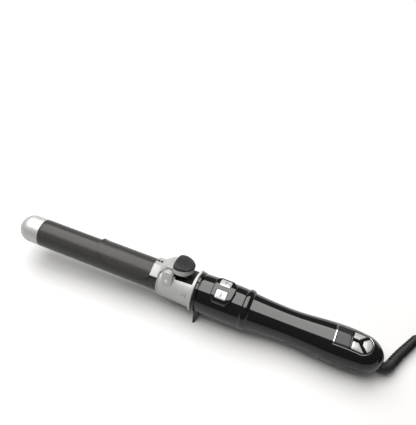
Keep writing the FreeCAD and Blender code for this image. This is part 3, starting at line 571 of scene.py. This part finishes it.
def make_boot():
    """Strain relief: a smooth elbow, then rings with slots between them and a spine above and below."""
    smooth_mm, pitch = 21.0, 3.1
    line = resampled(boot_line, 0.25)
    end_mm = (len(line) - 1) * 0.25

    def section(distance):
        taper = max(0.0, min(1.0, (distance - 8) / (end_mm - 8)))
        radius = 5.15 - 1.0 * taper
        if distance > end_mm - 1.2:
            radius -= 0.5 * ((distance - end_mm + 1.2) / 1.2) ** 2
        slot_depth = 0.0
        if smooth_mm < distance < end_mm - 3:
            phase = ((distance - smooth_mm) % pitch) / pitch
            slot_depth = 1.15 if 0.56 < phase < 0.98 else 0.0
        outline = []
        for k in range(48):
            angle = TAU * k / 48
            on_spine = abs(math.sin(angle)) > 0.86
            depth = 0.25 * slot_depth if on_spine else slot_depth
            outline.append(((radius - depth) * math.cos(angle), (radius - depth) * math.sin(angle)))
        return outline

    verts, faces = sweep(line, section)
    return piece("strain_relief", verts, faces, WORLD, "swivel", "cord_rubber", ["cord_boot"])


def make_plug():
    """Moulded two-pin plug: a body with waisted grip sides, and pins with sleeved roots."""
    length = 32.0
    x, y_back, z = COIL_CENTRE + Vector(CLIMB[-1])
    rows = []
    stations = [(0.0, 4.6, 4.4), (0.5, 5.4, 5.2), (4.0, 6.4, 5.8), (7.0, 8.6, 6.4), (10.0, 11.4, 6.9),
                (13.0, 12.6, 7.0), (17.0, 12.2, 6.8), (22.0, 12.2, 6.8), (27.0, 12.8, 7.0), (30.6, 13.0, 7.0),
                (31.7, 12.6, 6.6), (32.0, 11.8, 5.8)]
    lengths = [p[0] for p in stations]
    for step in range(145):
        along = length * step / 144
        half_width = float(np.interp(along, lengths, [p[1] for p in stations]))
        half_height = float(np.interp(along, lengths, [p[2] for p in stations]))
        groove = 0.5 if 12.5 < along < 26.5 and (along - 12.5) % 2.8 > 1.7 else 0.0
        row = []
        for k in range(64):
            angle = TAU * k / 64
            c, s = math.cos(angle), math.sin(angle)
            a = (abs(c) ** 0.5) * math.copysign(half_width - groove, c)
            b = (abs(s) ** 0.5) * math.copysign(half_height, s)
            row.append((x + a, y_back - along, z + b))
        rows.append(row)
    verts, faces = capped(rows)
    body = piece("plug_shell", verts, faces, WORLD, "swivel", "plug_black", ["plug_body"])
    shells, tips = [], []
    for side in (-1, 1):
        centre_x = x + side * 9.5
        sleeve = [(0.0, 1.85), (9.6, 1.85), (9.8, 1.7)]
        metal = [(9.0, 1.7), (9.8, 1.98), (17.6, 1.98), (18.6, 1.5), (18.95, 0.8), (19.0, 0.01)]
        for profile, target in ((sleeve, shells), (metal, tips)):
            rows = [[(centre_x + r * math.cos(angle), y_back - length - along, z + r * math.sin(angle))
                     for angle in TAU * np.arange(32) / 32] for along, r in profile]
            target.append(capped(rows))
    sleeves = piece("plug_pin_sleeves", *join(*shells), WORLD, "swivel", "plug_black")
    pins = piece("plug_contacts", *join(*tips), WORLD, "swivel", "bright_steel", ["plug_pins"])
    return body, sleeves, pins


def make_tie():
    """Band round the coil's turns, with its free end folded back."""
    inner, outer, height, half_width = 26.0, 46.0, 19.7, 4.0
    loop = round_outline([(inner, 0.2), (outer, 0.2), (outer, height), (inner, height)], 3.4, 8)
    turn = math.radians(250)
    radial = Vector((math.cos(turn), math.sin(turn), 0))
    across = Vector((-math.sin(turn), math.cos(turn), 0))

    def place(r, z, side):
        return COIL_CENTRE + radial * r + across * side + Vector((0, 0, z))

    outside = inset(loop, -0.7)
    outside = [(r, max(0.0, z)) for r, z in outside]
    corners = [(loop, -half_width), (outside, -half_width + 0.2), (outside, half_width - 0.2),
               (loop, half_width)]
    rows = [[place(r, z, side) for r, z in ring] for ring, side in corners]
    band = grid(rows, wrap_columns=True, wrap_rows=True)
    tab_outline = round_outline([(31.0, -3.6), (43.0, -3.6), (43.0, 3.6), (31.0, 3.6)], 1.2, 5)
    tab = cushion(tab_outline, lambda r, side, up: place(r, 19.6 + up, side), 0.0, 0.9, 0.3, 0.0, 3)
    return piece("cord_tie", *join(band, tab), WORLD, "swivel", "plug_black", ["coil_tie"])


boot = make_boot()
plug_pieces = make_plug()
tie = make_tie()
tuple(Vector(BOOT_POINTS[-1]) * MM)

# ---------------------------------------------------------------- barrel
PLATE_TIP = 91.5
PLATE_EDGE = [(91.5, 15.35), (91.6, 13.9), (92.0, 12.4), (92.9, 10.9), (94.5, 9.5), (96.6, 8.2), (98.8, 6.8),
              (103.5, 4.4), (109.0, 2.6), (147.0, 2.6), (150.4, 4.2), (152.0, 6.4), (153.0, 8.6)]


def make_cap():
    """Domed end cap with a hole in its middle, and a shallow step where it meets the barrel."""
    radius, wall, hole = 14.0, 1.6, 3.15
    first = math.asin((hole + 0.25) / radius)
    dome = [(radius - radius * math.cos(a), radius * math.sin(a))
            for a in np.linspace(first, math.pi / 2, 36)]
    low = radius - wall
    inner_first = math.asin(hole / low)
    hollow = [(radius - low * math.cos(a), low * math.sin(a))
              for a in np.linspace(math.pi / 2, inner_first, 24)]
    profile = dome + [(20, 14), (25.9, 14), (26.2, 13.75), (26.3, 13.5), (26.3, low)] + hollow
    profile += [(0.75, hole), (0.5, hole + 0.05)]
    piece("end_cap", *lathe(profile, closed=True), BARREL, "barrel", "satin_silver", ["tip_cap"],
          material="polished_silver")
    plug = [(7, 0.01), (7, 3.9), (4, 3.9), (4, 3.1), (0.36, 3.1), (0.3, 3.82), (-0.12, 3.8), (-0.38, 3.5),
            (-0.4, 3.1), (-0.3, 2.7), (-0.1, 1.2), (-0.05, 0.01)]
    piece("end_cap_plug", *lathe(plug, 64), BARREL, "barrel", "plug_black", ["tip_plug"])


def make_tube():
    profile = [(26.3, 12.6), (26.3, 13.6), (26.6, 13.9), (27.0, 14.0)]
    profile += [(station, 14.0) for station in np.linspace(30, 160, 27)] + [(164.5, 14.0), (164.5, 12.6)]
    piece("barrel_skin", *lathe(profile, closed=True), BARREL, "barrel", "barrel_coating", ["barrel_tube"])


def make_rivets():
    heads = []
    for side in (-1, 1):
        angle = math.radians(101) * side
        outward = Vector((0, math.sin(angle), math.cos(angle)))
        across = Vector((0, math.cos(angle), -math.sin(angle)))
        foot = Vector((156, 0, 0)) + outward * 13.9
        rows = []
        for height, radius in ((0, 1.5), (0.35, 1.5), (0.55, 1.38), (0.66, 1.1), (0.6, 0.7), (0.58, 0.01)):
            rows.append([foot + outward * height + Vector((radius * math.cos(TAU * k / 32), 0, 0))
                         + across * (radius * math.sin(TAU * k / 32)) for k in range(32)])
        heads.append(grid(rows, wrap_columns=True, cap_start=True))
    piece("rivet_heads", *join(*heads), BARREL, "barrel", "bright_steel", ["barrel_rivets"],
          material="barrel_coating")


# ---------------------------------------------------------------- clamp
def make_plate():
    """Curved plate that lies on the barrel, with a rounded end turned up a little at its lip."""
    inner, outer = 14.35, 15.4
    edge = spline(PLATE_EDGE, 1.0)
    rows = []
    for station, height in edge:
        half = math.acos(max(-1.0, min(1.0, height / 14.875)))
        half = max(half, 0.02)
        lip = 0.75 * max(0.0, 1 - (station - PLATE_TIP) / 4.5) ** 2
        low, high = inner + 0.8 * lip, outer + lip
        soft = min(0.35, half * outer * 0.3)
        row = []
        for t in np.linspace(-1, 1, 65):
            row.append((t * (half - soft / outer), high))
        row += [(half - 0.35 * soft / outer, high - 0.3 * soft), (half, high - soft), (half, low + 0.1)]
        for t in np.linspace(1, -1, 65):
            row.append((t * (half - 0.05 / outer), low))
        row += [(-half, low + 0.1), (-half, high - soft), (-half + 0.35 * soft / outer, high - 0.3 * soft)]
        rows.append([(station, r * math.sin(a), r * math.cos(a)) for a, r in row])
    piece("clamp_tongue", *capped(rows), BARREL, "clamp",
          "barrel_coating", ["clamp_plate"])


PAD_FLOOR, PAD_CREST = 22.4, 5.8
PAD_HALF = [(171.6, 0.05), (171.6, 4.0), (171.75, 7.4), (172.4, 9.8), (173.8, 11.4), (176.0, 12.2),
            (179.0, 12.2), (182.5, 11.2), (185.8, 9.2), (188.4, 6.2), (189.9, 2.6), (190.2, 0.05)]
PAD_RISE = [(171.6, 0.60), (171.75, 0.74), (172.3, 0.90), (173.6, 0.99), (175.5, 1.0), (178.0, 0.96),
            (181.0, 0.86), (185.0, 0.62), (188.0, 0.38), (189.8, 0.18), (190.2, 0.02)]


def pad_outline(grow=0.0):
    """Plan of the thumb pad: a straight front edge, sides that close in, and a round rear."""
    half = [(station, y) for station, y in spline(PAD_HALF, 0.6) if y > 0.1]
    outline = half + [(190.2, 0.0)] + [(station, -y) for station, y in reversed(half)]
    return inset(outline, -grow) if grow else outline


def pad_half_width(station):
    """Half width of the pad at a station behind its straight front edge."""
    line = [point for point in spline(PAD_HALF, 0.15) if point[0] >= 171.74]
    return float(np.interp(station, [p[0] for p in line], [p[1] for p in line]))


def make_pad():
    """Thumb pad: tall at its straight front, falling away to its round rear, with fine slanted ribs."""
    rise_line = spline(PAD_RISE, 0.15)
    count, width = 221, 61
    rows = []
    for share in np.linspace(0, 1, count):
        station = 171.6 + 18.6 * (1 - math.cos(math.pi * share)) / 2
        half = pad_half_width(station)
        height = PAD_CREST * float(np.interp(station, [p[0] for p in rise_line], [p[1] for p in rise_line]))
        row = []
        for angle in np.linspace(-math.pi / 2, math.pi / 2, width):
            side, up = math.sin(angle), math.cos(angle)
            y = half * math.copysign(abs(side) ** 0.9, side)
            phase = (station + 0.16 * y - 171.0) / 1.55
            rib = 0.5 + 0.5 * math.cos(TAU * phase)
            window = max(0.0, 1 - abs((station - 179.8) / 7.4) ** 8) * min(1.0, max(0.0, (up - 0.30) / 0.15))
            level = height * max(0.0, up) ** 0.62 - 0.55 * window * (1 - rib ** 1.4)
            row.append((station, y, PAD_FLOOR + max(0.0, level)))
        rows.append(row)
    verts, faces = grid(rows, cap_start=True, cap_end=True)
    faces.append([i * width for i in range(count)] + [i * width + width - 1 for i in reversed(range(count))])
    piece("thumb_rest", verts, faces, BARREL, "clamp", "thumb_rubber", ["thumb_pad"])


def disc(station, z, radius, low, high, segments=96):
    """Cylinder across the curler, between two distances from the middle."""
    outline = [(station + radius * math.cos(TAU * k / segments), z + radius * math.sin(TAU * k / segments))
               for k in range(segments)]
    return prism(outline, low, high, lambda s, height, y: (s, y, height))


def make_lever():
    """Saddle that holds the plate, with the screws' shelf, and the tray and lugs under the thumb pad."""
    rows = []
    for station, sink, share in ((151.9, 0.6, 0), (152.6, 0, 0), (158.6, 0, 0), (162.3, 0, 0.5),
                                 (165.5, 0, 0.93), (166.0, 0.3, 1)):
        low, half, top = (13.2 + 0.6 * share, 10.6 + 1.4 * share), 6.2 + 3.0 * share, 17.0 + 4.5 * share
        side = [(14.7 - sink, 8.6), (low[0] - sink, low[1] - 0.5 * sink), (half, top - sink)]
        rows.append([(station, -y, z) for y, z in side] + [(station, y, z) for y, z in reversed(side)])
    saddle = piece("clamp_saddle", *capped(rows), BARREL,
                   "clamp", "satin_silver", ["clamp_lever"])
    under = lathe([(150, 0.01), (150, 15.44), (153, 15.44), (153, 14.6), (158.4, 14.6), (158.4, 16.5),
                   (166.2, 16.5), (166.2, 0.01)], 192)
    ear_rooms = [disc(170, 10, 9.8, *span) for span in ((-20, -10.1), (10.1, 20))]
    cut_away(saddle, under, *ear_rooms, axes_matrix=BARREL)
    soften(saddle, 0.3)

    tray_form = cushion(pad_outline(-0.15), upright, 18.0, 22.5, 0.5, 0.0, 3, 0.7)
    tray = piece("pad_tray", *tray_form, BARREL, "clamp", "satin_silver")
    cut_away(tray, *ear_rooms, axes_matrix=BARREL)
    keel = [(174.6, -9.8), (181.4, -9.8), (185.2, -7.8), (187.2, -4.8), (188.0, 0), (187.2, 4.8),
            (185.2, 7.8), (181.4, 9.8), (174.6, 9.8)]
    under_tray = cushion(round_outline(keel, 1.2, 4), upright, 15.6, 18.1, 0.3, 0.0, 3, 0.7)
    neck = box((165.6, -9.6, 15.8), (176.0, 9.6, 21.3))
    lugs = []
    for side in (-1, 1):
        lug_arc = [(170 + 4 * math.cos(a), 10 + 4 * math.sin(a)) for a in np.linspace(-math.pi, 0, 21)]
        low, high = sorted((side * 6.0, side * 9.6))
        lugs.append(prism(lug_arc + [(174, 17), (166, 17)], low, high, sideways))
    piece("clamp_neck", *join(under_tray, neck, *lugs), BARREL, "clamp", "satin_silver", bevel=0.35)


def make_clamp_screws():
    heads = []
    for station in (154.0, 157.1):
        profile = [(16.9, 1.3), (17.35, 1.3), (17.52, 1.18), (17.6, 0.95), (17.6, 0.62), (17.25, 0.56),
                   (17.25, 0.01)]
        rows = [[(station + r * math.cos(TAU * k / 36), r * math.sin(TAU * k / 36), z) for k in range(36)]
                for z, r in profile]
        heads.append(grid(rows, wrap_columns=True, cap_start=True))
    piece("saddle_screws", *join(*heads), BARREL, "clamp", "bright_steel", ["clamp_screws"],
          material="plug_black")


# ---------------------------------------------------------------- collar
COLLAR_START, COLLAR_END, SLOT_START, SLOT_END, SLOT_FLOOR = 160.0, 194.6, 163.6, 194.0, 8.6


def collar_radius(station):
    return 16.0 + 1.5 * (station - COLLAR_START) / (COLLAR_END - COLLAR_START)


def make_collar():
    """Collar behind the barrel: grooved front, a flaring body with room for the lever, and two hinge ears."""
    bore, groove = 6.0, 0.45
    front = [(SLOT_START, 14.0), (160.0, 14.0), (160.0, 15.6), (160.3, 15.95), (161.1, 16.0),
             (161.25, 16.0 - groove), (161.75, 16.05 - groove), (161.9, 16.08),
             (SLOT_START, collar_radius(SLOT_START))]
    front_ring = lathe(front, 192, closed=True)
    rows = []
    for station in (SLOT_START, 168.0, 173.0, 176.5, 176.52, 182.0, 188.0, SLOT_END):
        radius = collar_radius(station)
        room = 10.4 if station <= 176.5 else 11.8
        wall = math.asin(room / radius)
        ring = [(radius * math.sin(a), radius * math.cos(a)) for a in np.linspace(wall, TAU - wall, 161)]
        rows.append([(station, y, z) for y, z in ring + [(-room, SLOT_FLOOR), (room, SLOT_FLOOR)]])
    middle = capped(rows)
    rear_ring = lathe([(SLOT_END, bore), (COLLAR_END, bore), (COLLAR_END, 17.3), (COLLAR_END - 0.2, 17.5),
                       (SLOT_END, collar_radius(SLOT_END))], 192, closed=True)
    ears = []
    for side in (-1, 1):
        arc = [(170 + 5.4 * math.cos(a), 14.0 + 5.4 * math.sin(a)) for a in np.linspace(0, math.pi, 33)]

        def place(station, z, height, side=side):
            return station, side * (10.4 + height), z

        ears.append(cushion(arc + [(164.6, -2), (175.4, -2)], place, 0.0, 5.45, 0.8, 0.0, 3, 0.6))
        inner = [(170 + 3.7 * math.cos(a), 12.6 + 3.7 * math.sin(a)) for a in np.linspace(0, math.pi, 25)]
        panel = round_outline([*inner, (166.3, 5.6), (173.7, 5.6)], [0.3] * len(inner) + [0.9, 0.9], 3)
        ears.append(cushion(panel, place, 5.0, 5.75, 0.22, 0.0, 3, 0.6))
    piece("collar_body", *join(front_ring, middle, rear_ring, *ears), BARREL, "barrel", "satin_silver",
          ["barrel_collar"])
    # painted shade: a thin black sheet on the floor of the lever's slot darkens it like the deep shadow there; it
    # is not a part of the curler
    shade_sheet = cushion([(164.0, -10.3), (193.9, -11.7), (193.9, 11.7), (164.0, 10.3)], upright,
                    SLOT_FLOOR - 0.1, SLOT_FLOOR + 0.22, 0.05, 0.0, 3, 1.5)
    piece("slot_painted_shade", *shade_sheet, BARREL, "barrel", "plug_black")
    marks = []
    for low, high, deep in ((187.0, 187.7, 2.0), (188.7, 189.4, 2.0), (190.6, 191.3, 4.2)):
        rows = []
        for station in (low, high):
            reach = collar_radius(station) + 0.03
            rows.append([(station, -reach * math.cos(a), reach * math.sin(a))
                         for a in np.linspace(math.radians(8) - deep / 30, math.radians(8) + deep / 30, 9)])
        marks.append(grid(rows))
    piece("collar_marks", *join(*marks), BARREL, "barrel", "satin_silver", material="mark_grey")


def make_flange():
    """Disc behind the collar, finely notched over its top, with one stop lobe below."""
    start, end, radius, bore = 194.6, 197.2, 19.7, 6.0
    profile = [(start, 0.0), (start, -0.55), (start + 0.2, -0.15), (start + 0.6, 0.0), (end - 0.6, 0.0),
               (end - 0.2, -0.15), (end, -0.55), (end, 0.0)]
    count = 360
    rows = [[(start, *point) for point in circle(inner, count)] for inner in (bore, 15.0)]
    for station, drop in profile[1:-1]:
        row = []
        for k in range(count):
            angle = TAU * k / count
            turned = (angle + math.pi) % TAU - math.pi
            notch = 0.3 * (0.5 - 0.5 * math.cos(k * TAU / 4)) if abs(turned - 0.42) < 0.75 else 0.0
            lobe = 1.6 * max(0.0, 1 - (abs(abs(turned) - math.pi) / 0.13) ** 4)
            r = radius + drop - notch + lobe
            row.append((station, r * math.sin(angle), r * math.cos(angle)))
        rows.append(row)
    rows.append([(end, *point) for point in circle(bore, count)])
    piece("grip_flange", *grid(rows, wrap_columns=True, wrap_rows=True), BARREL, "barrel", "satin_silver",
          ["collar_flange"])


def make_stand():
    """Thin ring ahead of the housing, with two pointed feet and a lug on top."""
    start, end, floor = 198.2, 200.2, -25.383
    ring = [(start, 9.0), (start, 18.7), (start + 0.3, 19.0), (end - 0.3, 19.0), (end, 18.7), (end, 16.6),
            (202.2, 16.6), (202.2, 9.0)]
    parts = [lathe(ring, closed=True)]
    for side in (-1, 1):
        angle = math.radians(34.5) * side
        down = Vector((0, math.sin(angle), -math.cos(angle)))
        across = Vector((0, math.cos(angle), math.sin(angle)))
        rows = []
        for share in np.linspace(0, 1, 25):
            reach = 16.6 + 16.0 * share
            low, high = 197.9 + 1.6 * share, 205.4 - 3.5 * share
            half = 4.2 - 2.3 * share
            middle, span = (low + high) / 2, (high - low) / 2
            row = []
            for k in range(40):
                a = TAU * k / 40
                c, s = math.cos(a), math.sin(a)
                x = middle + span * math.copysign(abs(c) ** 0.6, c)
                y = half * math.copysign(abs(s) ** 0.6, s)
                point = Vector((x, 0, 0)) + down * reach + across * y
                point.z = max(point.z, floor)
                row.append(point)
            rows.append(row)
        parts.append(capped(rows))
    lug_outline = round_outline([(16.5, -2.5), (20.5, -2.5), (20.5, 2.5), (16.5, 2.5)],
                                [0.1, 0.8, 0.8, 0.1], 5)
    parts.append(prism(lug_outline, start, end, lambda z, y, station: (station, y, z)))
    piece("stand_frame", *join(*parts), HANDLE, "handle", "gloss_black", ["stand_ring"])


# ---------------------------------------------------------------- handle
POD_OUTLINE = [(213, -9), (216, -13), (229, -13), (233.5, -8), (234.5, 0), (233.5, 8), (229, 13), (216, 13),
               (213, 9)]
PANEL_FRONT, PANEL_STRAIGHT_END, PANEL_HALF_WIDTH, BEZEL_WIDTH, FRONT_BAR = 326.0, 350.0, 9.7, 0.6, 1.56
SKIN_EDGE = [(286.0, -9.0), (286.6, -5.8), (288.2, -3.6), (291.0, -1.6), (296, 0.6), (304, 2.0), (316, 2.3),
             (328, 2.0), (336, 0.0), (344, -0.5), (352, -0.7), (357, -1.8), (360, -3.6), (361.2, -6.0),
             (361.5, -9.0)]
WINDOW_OUTLINE = [(303, -5.5), (312, -1.8), (326, -1.6), (332, -4.5), (333.5, -9), (329, -13), (316, -13),
                  (306, -10)]


def panel_outline(shrink, front=None, end=None):
    """U-shaped panel outline: straight in front, round behind; end stops it at a station."""
    half = PANEL_HALF_WIDTH - shrink
    front = PANEL_FRONT + shrink if front is None else front
    if end:
        return [(front, -half), (end, -half), (end, half), (front, half)]
    return [(front, -half)] + panel_arc(half, 0, 180, 49) + [(front, half)]


def plan_cutter(outline, low, high):
    return prism(outline, low, high, lambda station, y, z: (station, y, z))


def half_shell(sign):
    """Upper (sign 1) or lower (sign -1) half of the handle's shell, with a fine groove along the seam."""
    stations = [p[0] for p in OUTLINE[:-1]]
    rows = []
    wall = 1.8
    for station in stations:
        radius = handle_radius(station)
        inner_station = min(station, TAIL_END - wall - 0.4)
        inner = max(0.3, min(radius - wall, handle_radius(inner_station + 1.2) - wall * 0.9))
        row = []
        seam = 0.13 / max(radius, 3)
        half_turn = math.pi / 2
        for t in np.linspace(-1, 1, 97):
            angle = t * (half_turn - seam)
            row.append((station, radius * math.sin(angle), sign * radius * math.cos(angle)))
        row.append((station, radius - 0.14, 0.0))
        for t in np.linspace(1, -1, 49):
            angle = t * half_turn
            row.append((inner_station, inner * math.sin(angle), sign * max(0.0, inner * math.cos(angle))))
        row.append((station, -radius + 0.14, 0.0))
        rows.append(row)
    return capped(rows)


def make_shells():
    upper = piece("handle_upper", *half_shell(1), HANDLE, "handle", "gloss_black", ["handle_top_shell"])
    panel = panel_outline(BEZEL_WIDTH - 0.3)
    pod_room = [(216, -11), (231, -11), (231, 11), (216, 11)]
    cut_away(upper, plan_cutter(panel, 3, 30), plan_cutter(pod_room, 3, 30))
    lower = piece("handle_lower", *half_shell(-1), HANDLE, "handle", "gloss_black", ["handle_bottom_shell"])
    cut_away(lower, lathe([(362, 0.01), (362, 6.4), (380, 6.4), (380, 0.01)], 48, 0, -8))


def make_bead():
    """Rounded bead round the handle, with a fine groove at each side."""
    station, radius, half = 246.6, 19.1, 4.4
    sagitta = 2.4
    curve = (half * half + sagitta * sagitta) / (2 * sagitta)
    arc = []
    for x in np.linspace(-half, half, 41):
        arc.append((station + x, radius - curve + math.sqrt(curve * curve - x * x)))
    profile = [(station - half - 0.1, 16.0)] + arc + [(station + half + 0.1, 16.0)]
    piece("grip_bead", *lathe(profile, 192, closed=True), HANDLE, "handle", "gloss_black", ["trim_bead"])


def make_skin():
    """Soft-touch skin under the tail of the handle, with a gloss window on each side."""
    edge = spline(SKIN_EDGE, 0.5)
    rows = []
    for station, height in edge:
        radius = handle_radius(station)
        half = math.acos(max(-1.0, min(1.0, -height / radius)))
        soft = 0.25
        row = []
        for t in np.linspace(-1, 1, 121):
            row.append((t * (half - soft / radius), 0.3))
        row += [(half - 0.3 * soft / radius, 0.22), (half, 0.05), (half, -0.8)]
        for t in np.linspace(1, -1, 61):
            row.append((t * half, -0.8))
        row += [(-half, 0.05), (-half + 0.3 * soft / radius, 0.22)]
        rows.append([around_handle(station, math.pi + angle, offset) for angle, offset in row])
    skin = piece("grip_cover", *capped(rows), HANDLE, "handle",
                 "grip_matte", ["grip_skin"])
    window = round_outline(WINDOW_OUTLINE, 2.4, 5)
    cut_away(skin, prism(window, -25, 25, sideways),
             lathe([(359, 0.01), (359, 6.4), (380, 6.4), (380, 0.01)], 48, 0, -8))


POD_STATION, POD_ANGLE, POD_LENGTH, POD_WIDTH = 222.8, math.radians(17.0), 11.0, 8.4


def on_pod(side):
    """Placing function for a direction button: its own plan (station, across) and height over the axis."""
    def place(station, across, height):
        y = across * math.cos(POD_ANGLE) + side * height * math.sin(POD_ANGLE)
        z = height * math.cos(POD_ANGLE) - side * across * math.sin(POD_ANGLE)
        return station, y, z
    return place


def button_plan(grow, radius):
    half_length, half_width = POD_LENGTH / 2 + grow, POD_WIDTH / 2 + grow
    return round_outline([(POD_STATION - half_length, -half_width), (POD_STATION + half_length, -half_width),
                          (POD_STATION + half_length, half_width), (POD_STATION - half_length, half_width)],
                         radius, 6)


def make_pod():
    """Raised rounded base of the direction buttons, with a well for each."""
    crown, low = 21.4, 17.2

    def place(station, y, height):
        return station, y, math.sqrt(max(0.0, (low + height)**2 - y * y))

    outline = round_outline(POD_OUTLINE, 3.0, 5)
    pod = piece("pod_base", *cushion(outline, place, 0.2, crown - low, 1.3, 0.0, 14, 0.7), HANDLE, "handle",
                "gloss_black", ["button_pod"])
    wells = [prism(button_plan(0.3, 1.9), 15.0, 30.0, on_pod(side)) for side in (-1, 1)]
    cut_away(pod, *wells)
    for name, side in (("near", -1), ("far", 1)):
        place = on_pod(side)
        cap = cushion(button_plan(0.0, 1.6), place, 18.5, 21.5, 0.8, 0.35, 6, 0.5)
        piece(f"pod_button_{name}", *cap, HANDLE, f"direction_{name}", "button_silver",
              [f"direction_button_{name}"])
        arrow = [(POD_STATION - 1.5, side * 0.9), (POD_STATION + 1.5, side * 0.9), (POD_STATION, side * 3.0)]
        stem = [(POD_STATION - 0.45, -side * 2.0), (POD_STATION + 0.45, -side * 2.0),
                (POD_STATION + 0.45, side * 1.1), (POD_STATION - 0.45, side * 1.1)]
        marks = [prism([(s, a * 0.9 - side * 0.4) for s, a in shape], 21.6, 21.87, place)
                 for shape in (arrow, stem)]
        piece(f"pod_arrow_{name}", *join(*marks), HANDLE, f"direction_{name}", "button_silver",
              material="mark_grey")


def make_bezel():
    """Bright frame round the panel, broad across its front."""
    outside = resample(panel_outline(0.0), 0.5)
    half = PANEL_HALF_WIDTH
    rows = []
    for share, offset in ((0.0, -0.3), (0.0, 0.45), (0.12, 0.68), (0.3, 0.79), (0.7, 0.79), (0.88, 0.68),
                          (1.0, 0.45), (1.0, -0.3)):
        squeeze = (half - share * BEZEL_WIDTH) / half
        row = []
        for station, y in outside:
            if station >= PANEL_STRAIGHT_END:
                along = PANEL_STRAIGHT_END + (station - PANEL_STRAIGHT_END) * squeeze
            else:
                along = max(station, PANEL_FRONT + share * FRONT_BAR)
            row.append(on_handle(along, y * squeeze, offset))
        rows.append(row)
    piece("panel_frame", *grid(rows, wrap_columns=True, wrap_rows=True), HANDLE, "handle", "chrome_trim",
          ["display_bezel"])


def panel_arc(radius, first, last, count=17):
    """Arc round the panel's rear, by angle from the near side."""
    return [(PANEL_STRAIGHT_END + radius * math.sin(a), -radius * math.cos(a))
            for a in np.linspace(math.radians(first), math.radians(last), count)]


def side_key(side, grow):
    """Plan of the near (-1) or far (1) button: square in front, cut back on a slant behind."""
    half, arm = 8.1 + grow, 1.6 - grow
    front, slant = 341.5 - grow, 346.5 + grow * 0.9
    points = [(front, -arm), (front, -half)] + panel_arc(half, 0, 15 + 3 * grow, 7) + [(slant, -arm)]
    return [(station, -side * y) for station, y in points]


def rear_key(grow):
    """Plan of the rear button: a blunt point in front, round behind."""
    half, front = 8.1 + grow, 350.2 - grow
    return [(front, 2.0), (front, -2.0)] + panel_arc(half, 38.7 - 3 * grow, 141.3 + 3 * grow, 25)


def make_panel():
    """Display window, the black bed behind it, and its three buttons."""
    screen = panel_outline(BEZEL_WIDTH, PANEL_FRONT + FRONT_BAR, 340.2)
    lens = cushion(round_outline(screen, 0.3, 3), on_handle, -1.1, 0.35, 0.2, 0.0, 12, 0.6)
    piece("panel_screen", *lens, HANDLE, "handle", "screen_glass", ["display_lens"])
    bed_plan = panel_outline(BEZEL_WIDTH, 340.25)
    bed = piece("panel_bed", *cushion(bed_plan, on_handle, -2.8, 0.28, 0.1, 0.0, 12, 0.6), HANDLE, "handle",
                "gloss_black", ["panel_divider"])
    gap = 0.24
    plans = (("panel_near", side_key(-1, gap), side_key(-1, 0.0)),
             ("panel_far", side_key(1, gap), side_key(1, 0.0)),
             ("panel_rear", rear_key(gap), rear_key(0.0)))
    for body, well_plan, key_plan in plans:
        cut_away(bed, cushion(round_outline(well_plan, 0.9, 4), on_handle, 8.0, -2.25, -0.01, 0.0, 12, 0.6))
        key = cushion(round_outline(key_plan, 0.8, 4), on_handle, -1.0, 0.72, 0.45, 0.18, 7, 0.5)
        piece(f"{body}_key", *key, HANDLE, body, "button_silver", [body.replace("panel_", "panel_button_")])


make_cap()
make_tube()
make_rivets()
make_plate()
make_pad()
make_lever()
make_clamp_screws()
make_collar()
make_flange()
make_stand()
make_shells()
make_bead()
make_skin()
make_pod()
make_bezel()
make_panel()

# ---------------------------------------------------------------- plain CAD nodes
for entry in frame["record"]["subparts"]:
    obj = frame["nodes"][entry["node"]]
    obj.data.materials.clear()
    obj.data.materials.append(MATERIALS[entry["material_slot"]])

# ---------------------------------------------------------------- floor and light


FLOOR_REACH = 6           # metres to each side


def make_floor():
    mesh = bpy.data.meshes.new("floor")
    corner_points = [(x, y, 0) for y in (-FLOOR_REACH, FLOOR_REACH) for x in (-FLOOR_REACH, FLOOR_REACH)]
    mesh.from_pydata(corner_points, [], [(0, 1, 3, 2)])
    mesh.materials.append(MATERIALS["studio_floor"])
    floor = bpy.data.objects.new("floor", mesh)
    bpy.context.scene.collection.objects.link(floor)
    floor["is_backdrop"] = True


def softbox(name, location, target, width, height, power):
    data = bpy.data.lights.new(name, "AREA")
    data.shape = "RECTANGLE"
    data.size, data.size_y = width, height
    data.energy = power
    light = bpy.data.objects.new(name, data)
    light.location = location
    light.rotation_euler = (Vector(target) - Vector(location)).to_track_quat("-Z", "Y").to_euler()
    bpy.context.scene.collection.objects.link(light)
    return light


def make_light():
    """One wide overhead softbox and a weak fill from the near side, in a dim, pale room."""
    world = bpy.data.worlds.new("studio")
    world.use_nodes = True
    background = world.node_tree.nodes["Background"]
    background.inputs["Color"].default_value = (1.0, 0.99, 0.98, 1)
    background.inputs["Strength"].default_value = 0.10
    bpy.context.scene.world = world
    top = softbox("overhead", (-0.3, 0.34, 0.9), (-0.3, 0.34, 0.0), 1.2, 1.32, 40)
    top.data.color = (1.0, 0.99, 0.975)
    fill = softbox("near_fill", (-0.15, -1.1, 0.35), (0.1, 0.0, 0.0), 1.0, 0.5, 7)
    fill.data.color = (1.0, 0.99, 0.975)
    fill.visible_glossy = False


make_floor()
make_light()
bpy.context.scene.view_settings.view_transform = "Standard"


def corners(pair):
    return [[float(value) for value in corner] for corner in pair]


{"cad": corners(cad_box), "visual": corners(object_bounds())}
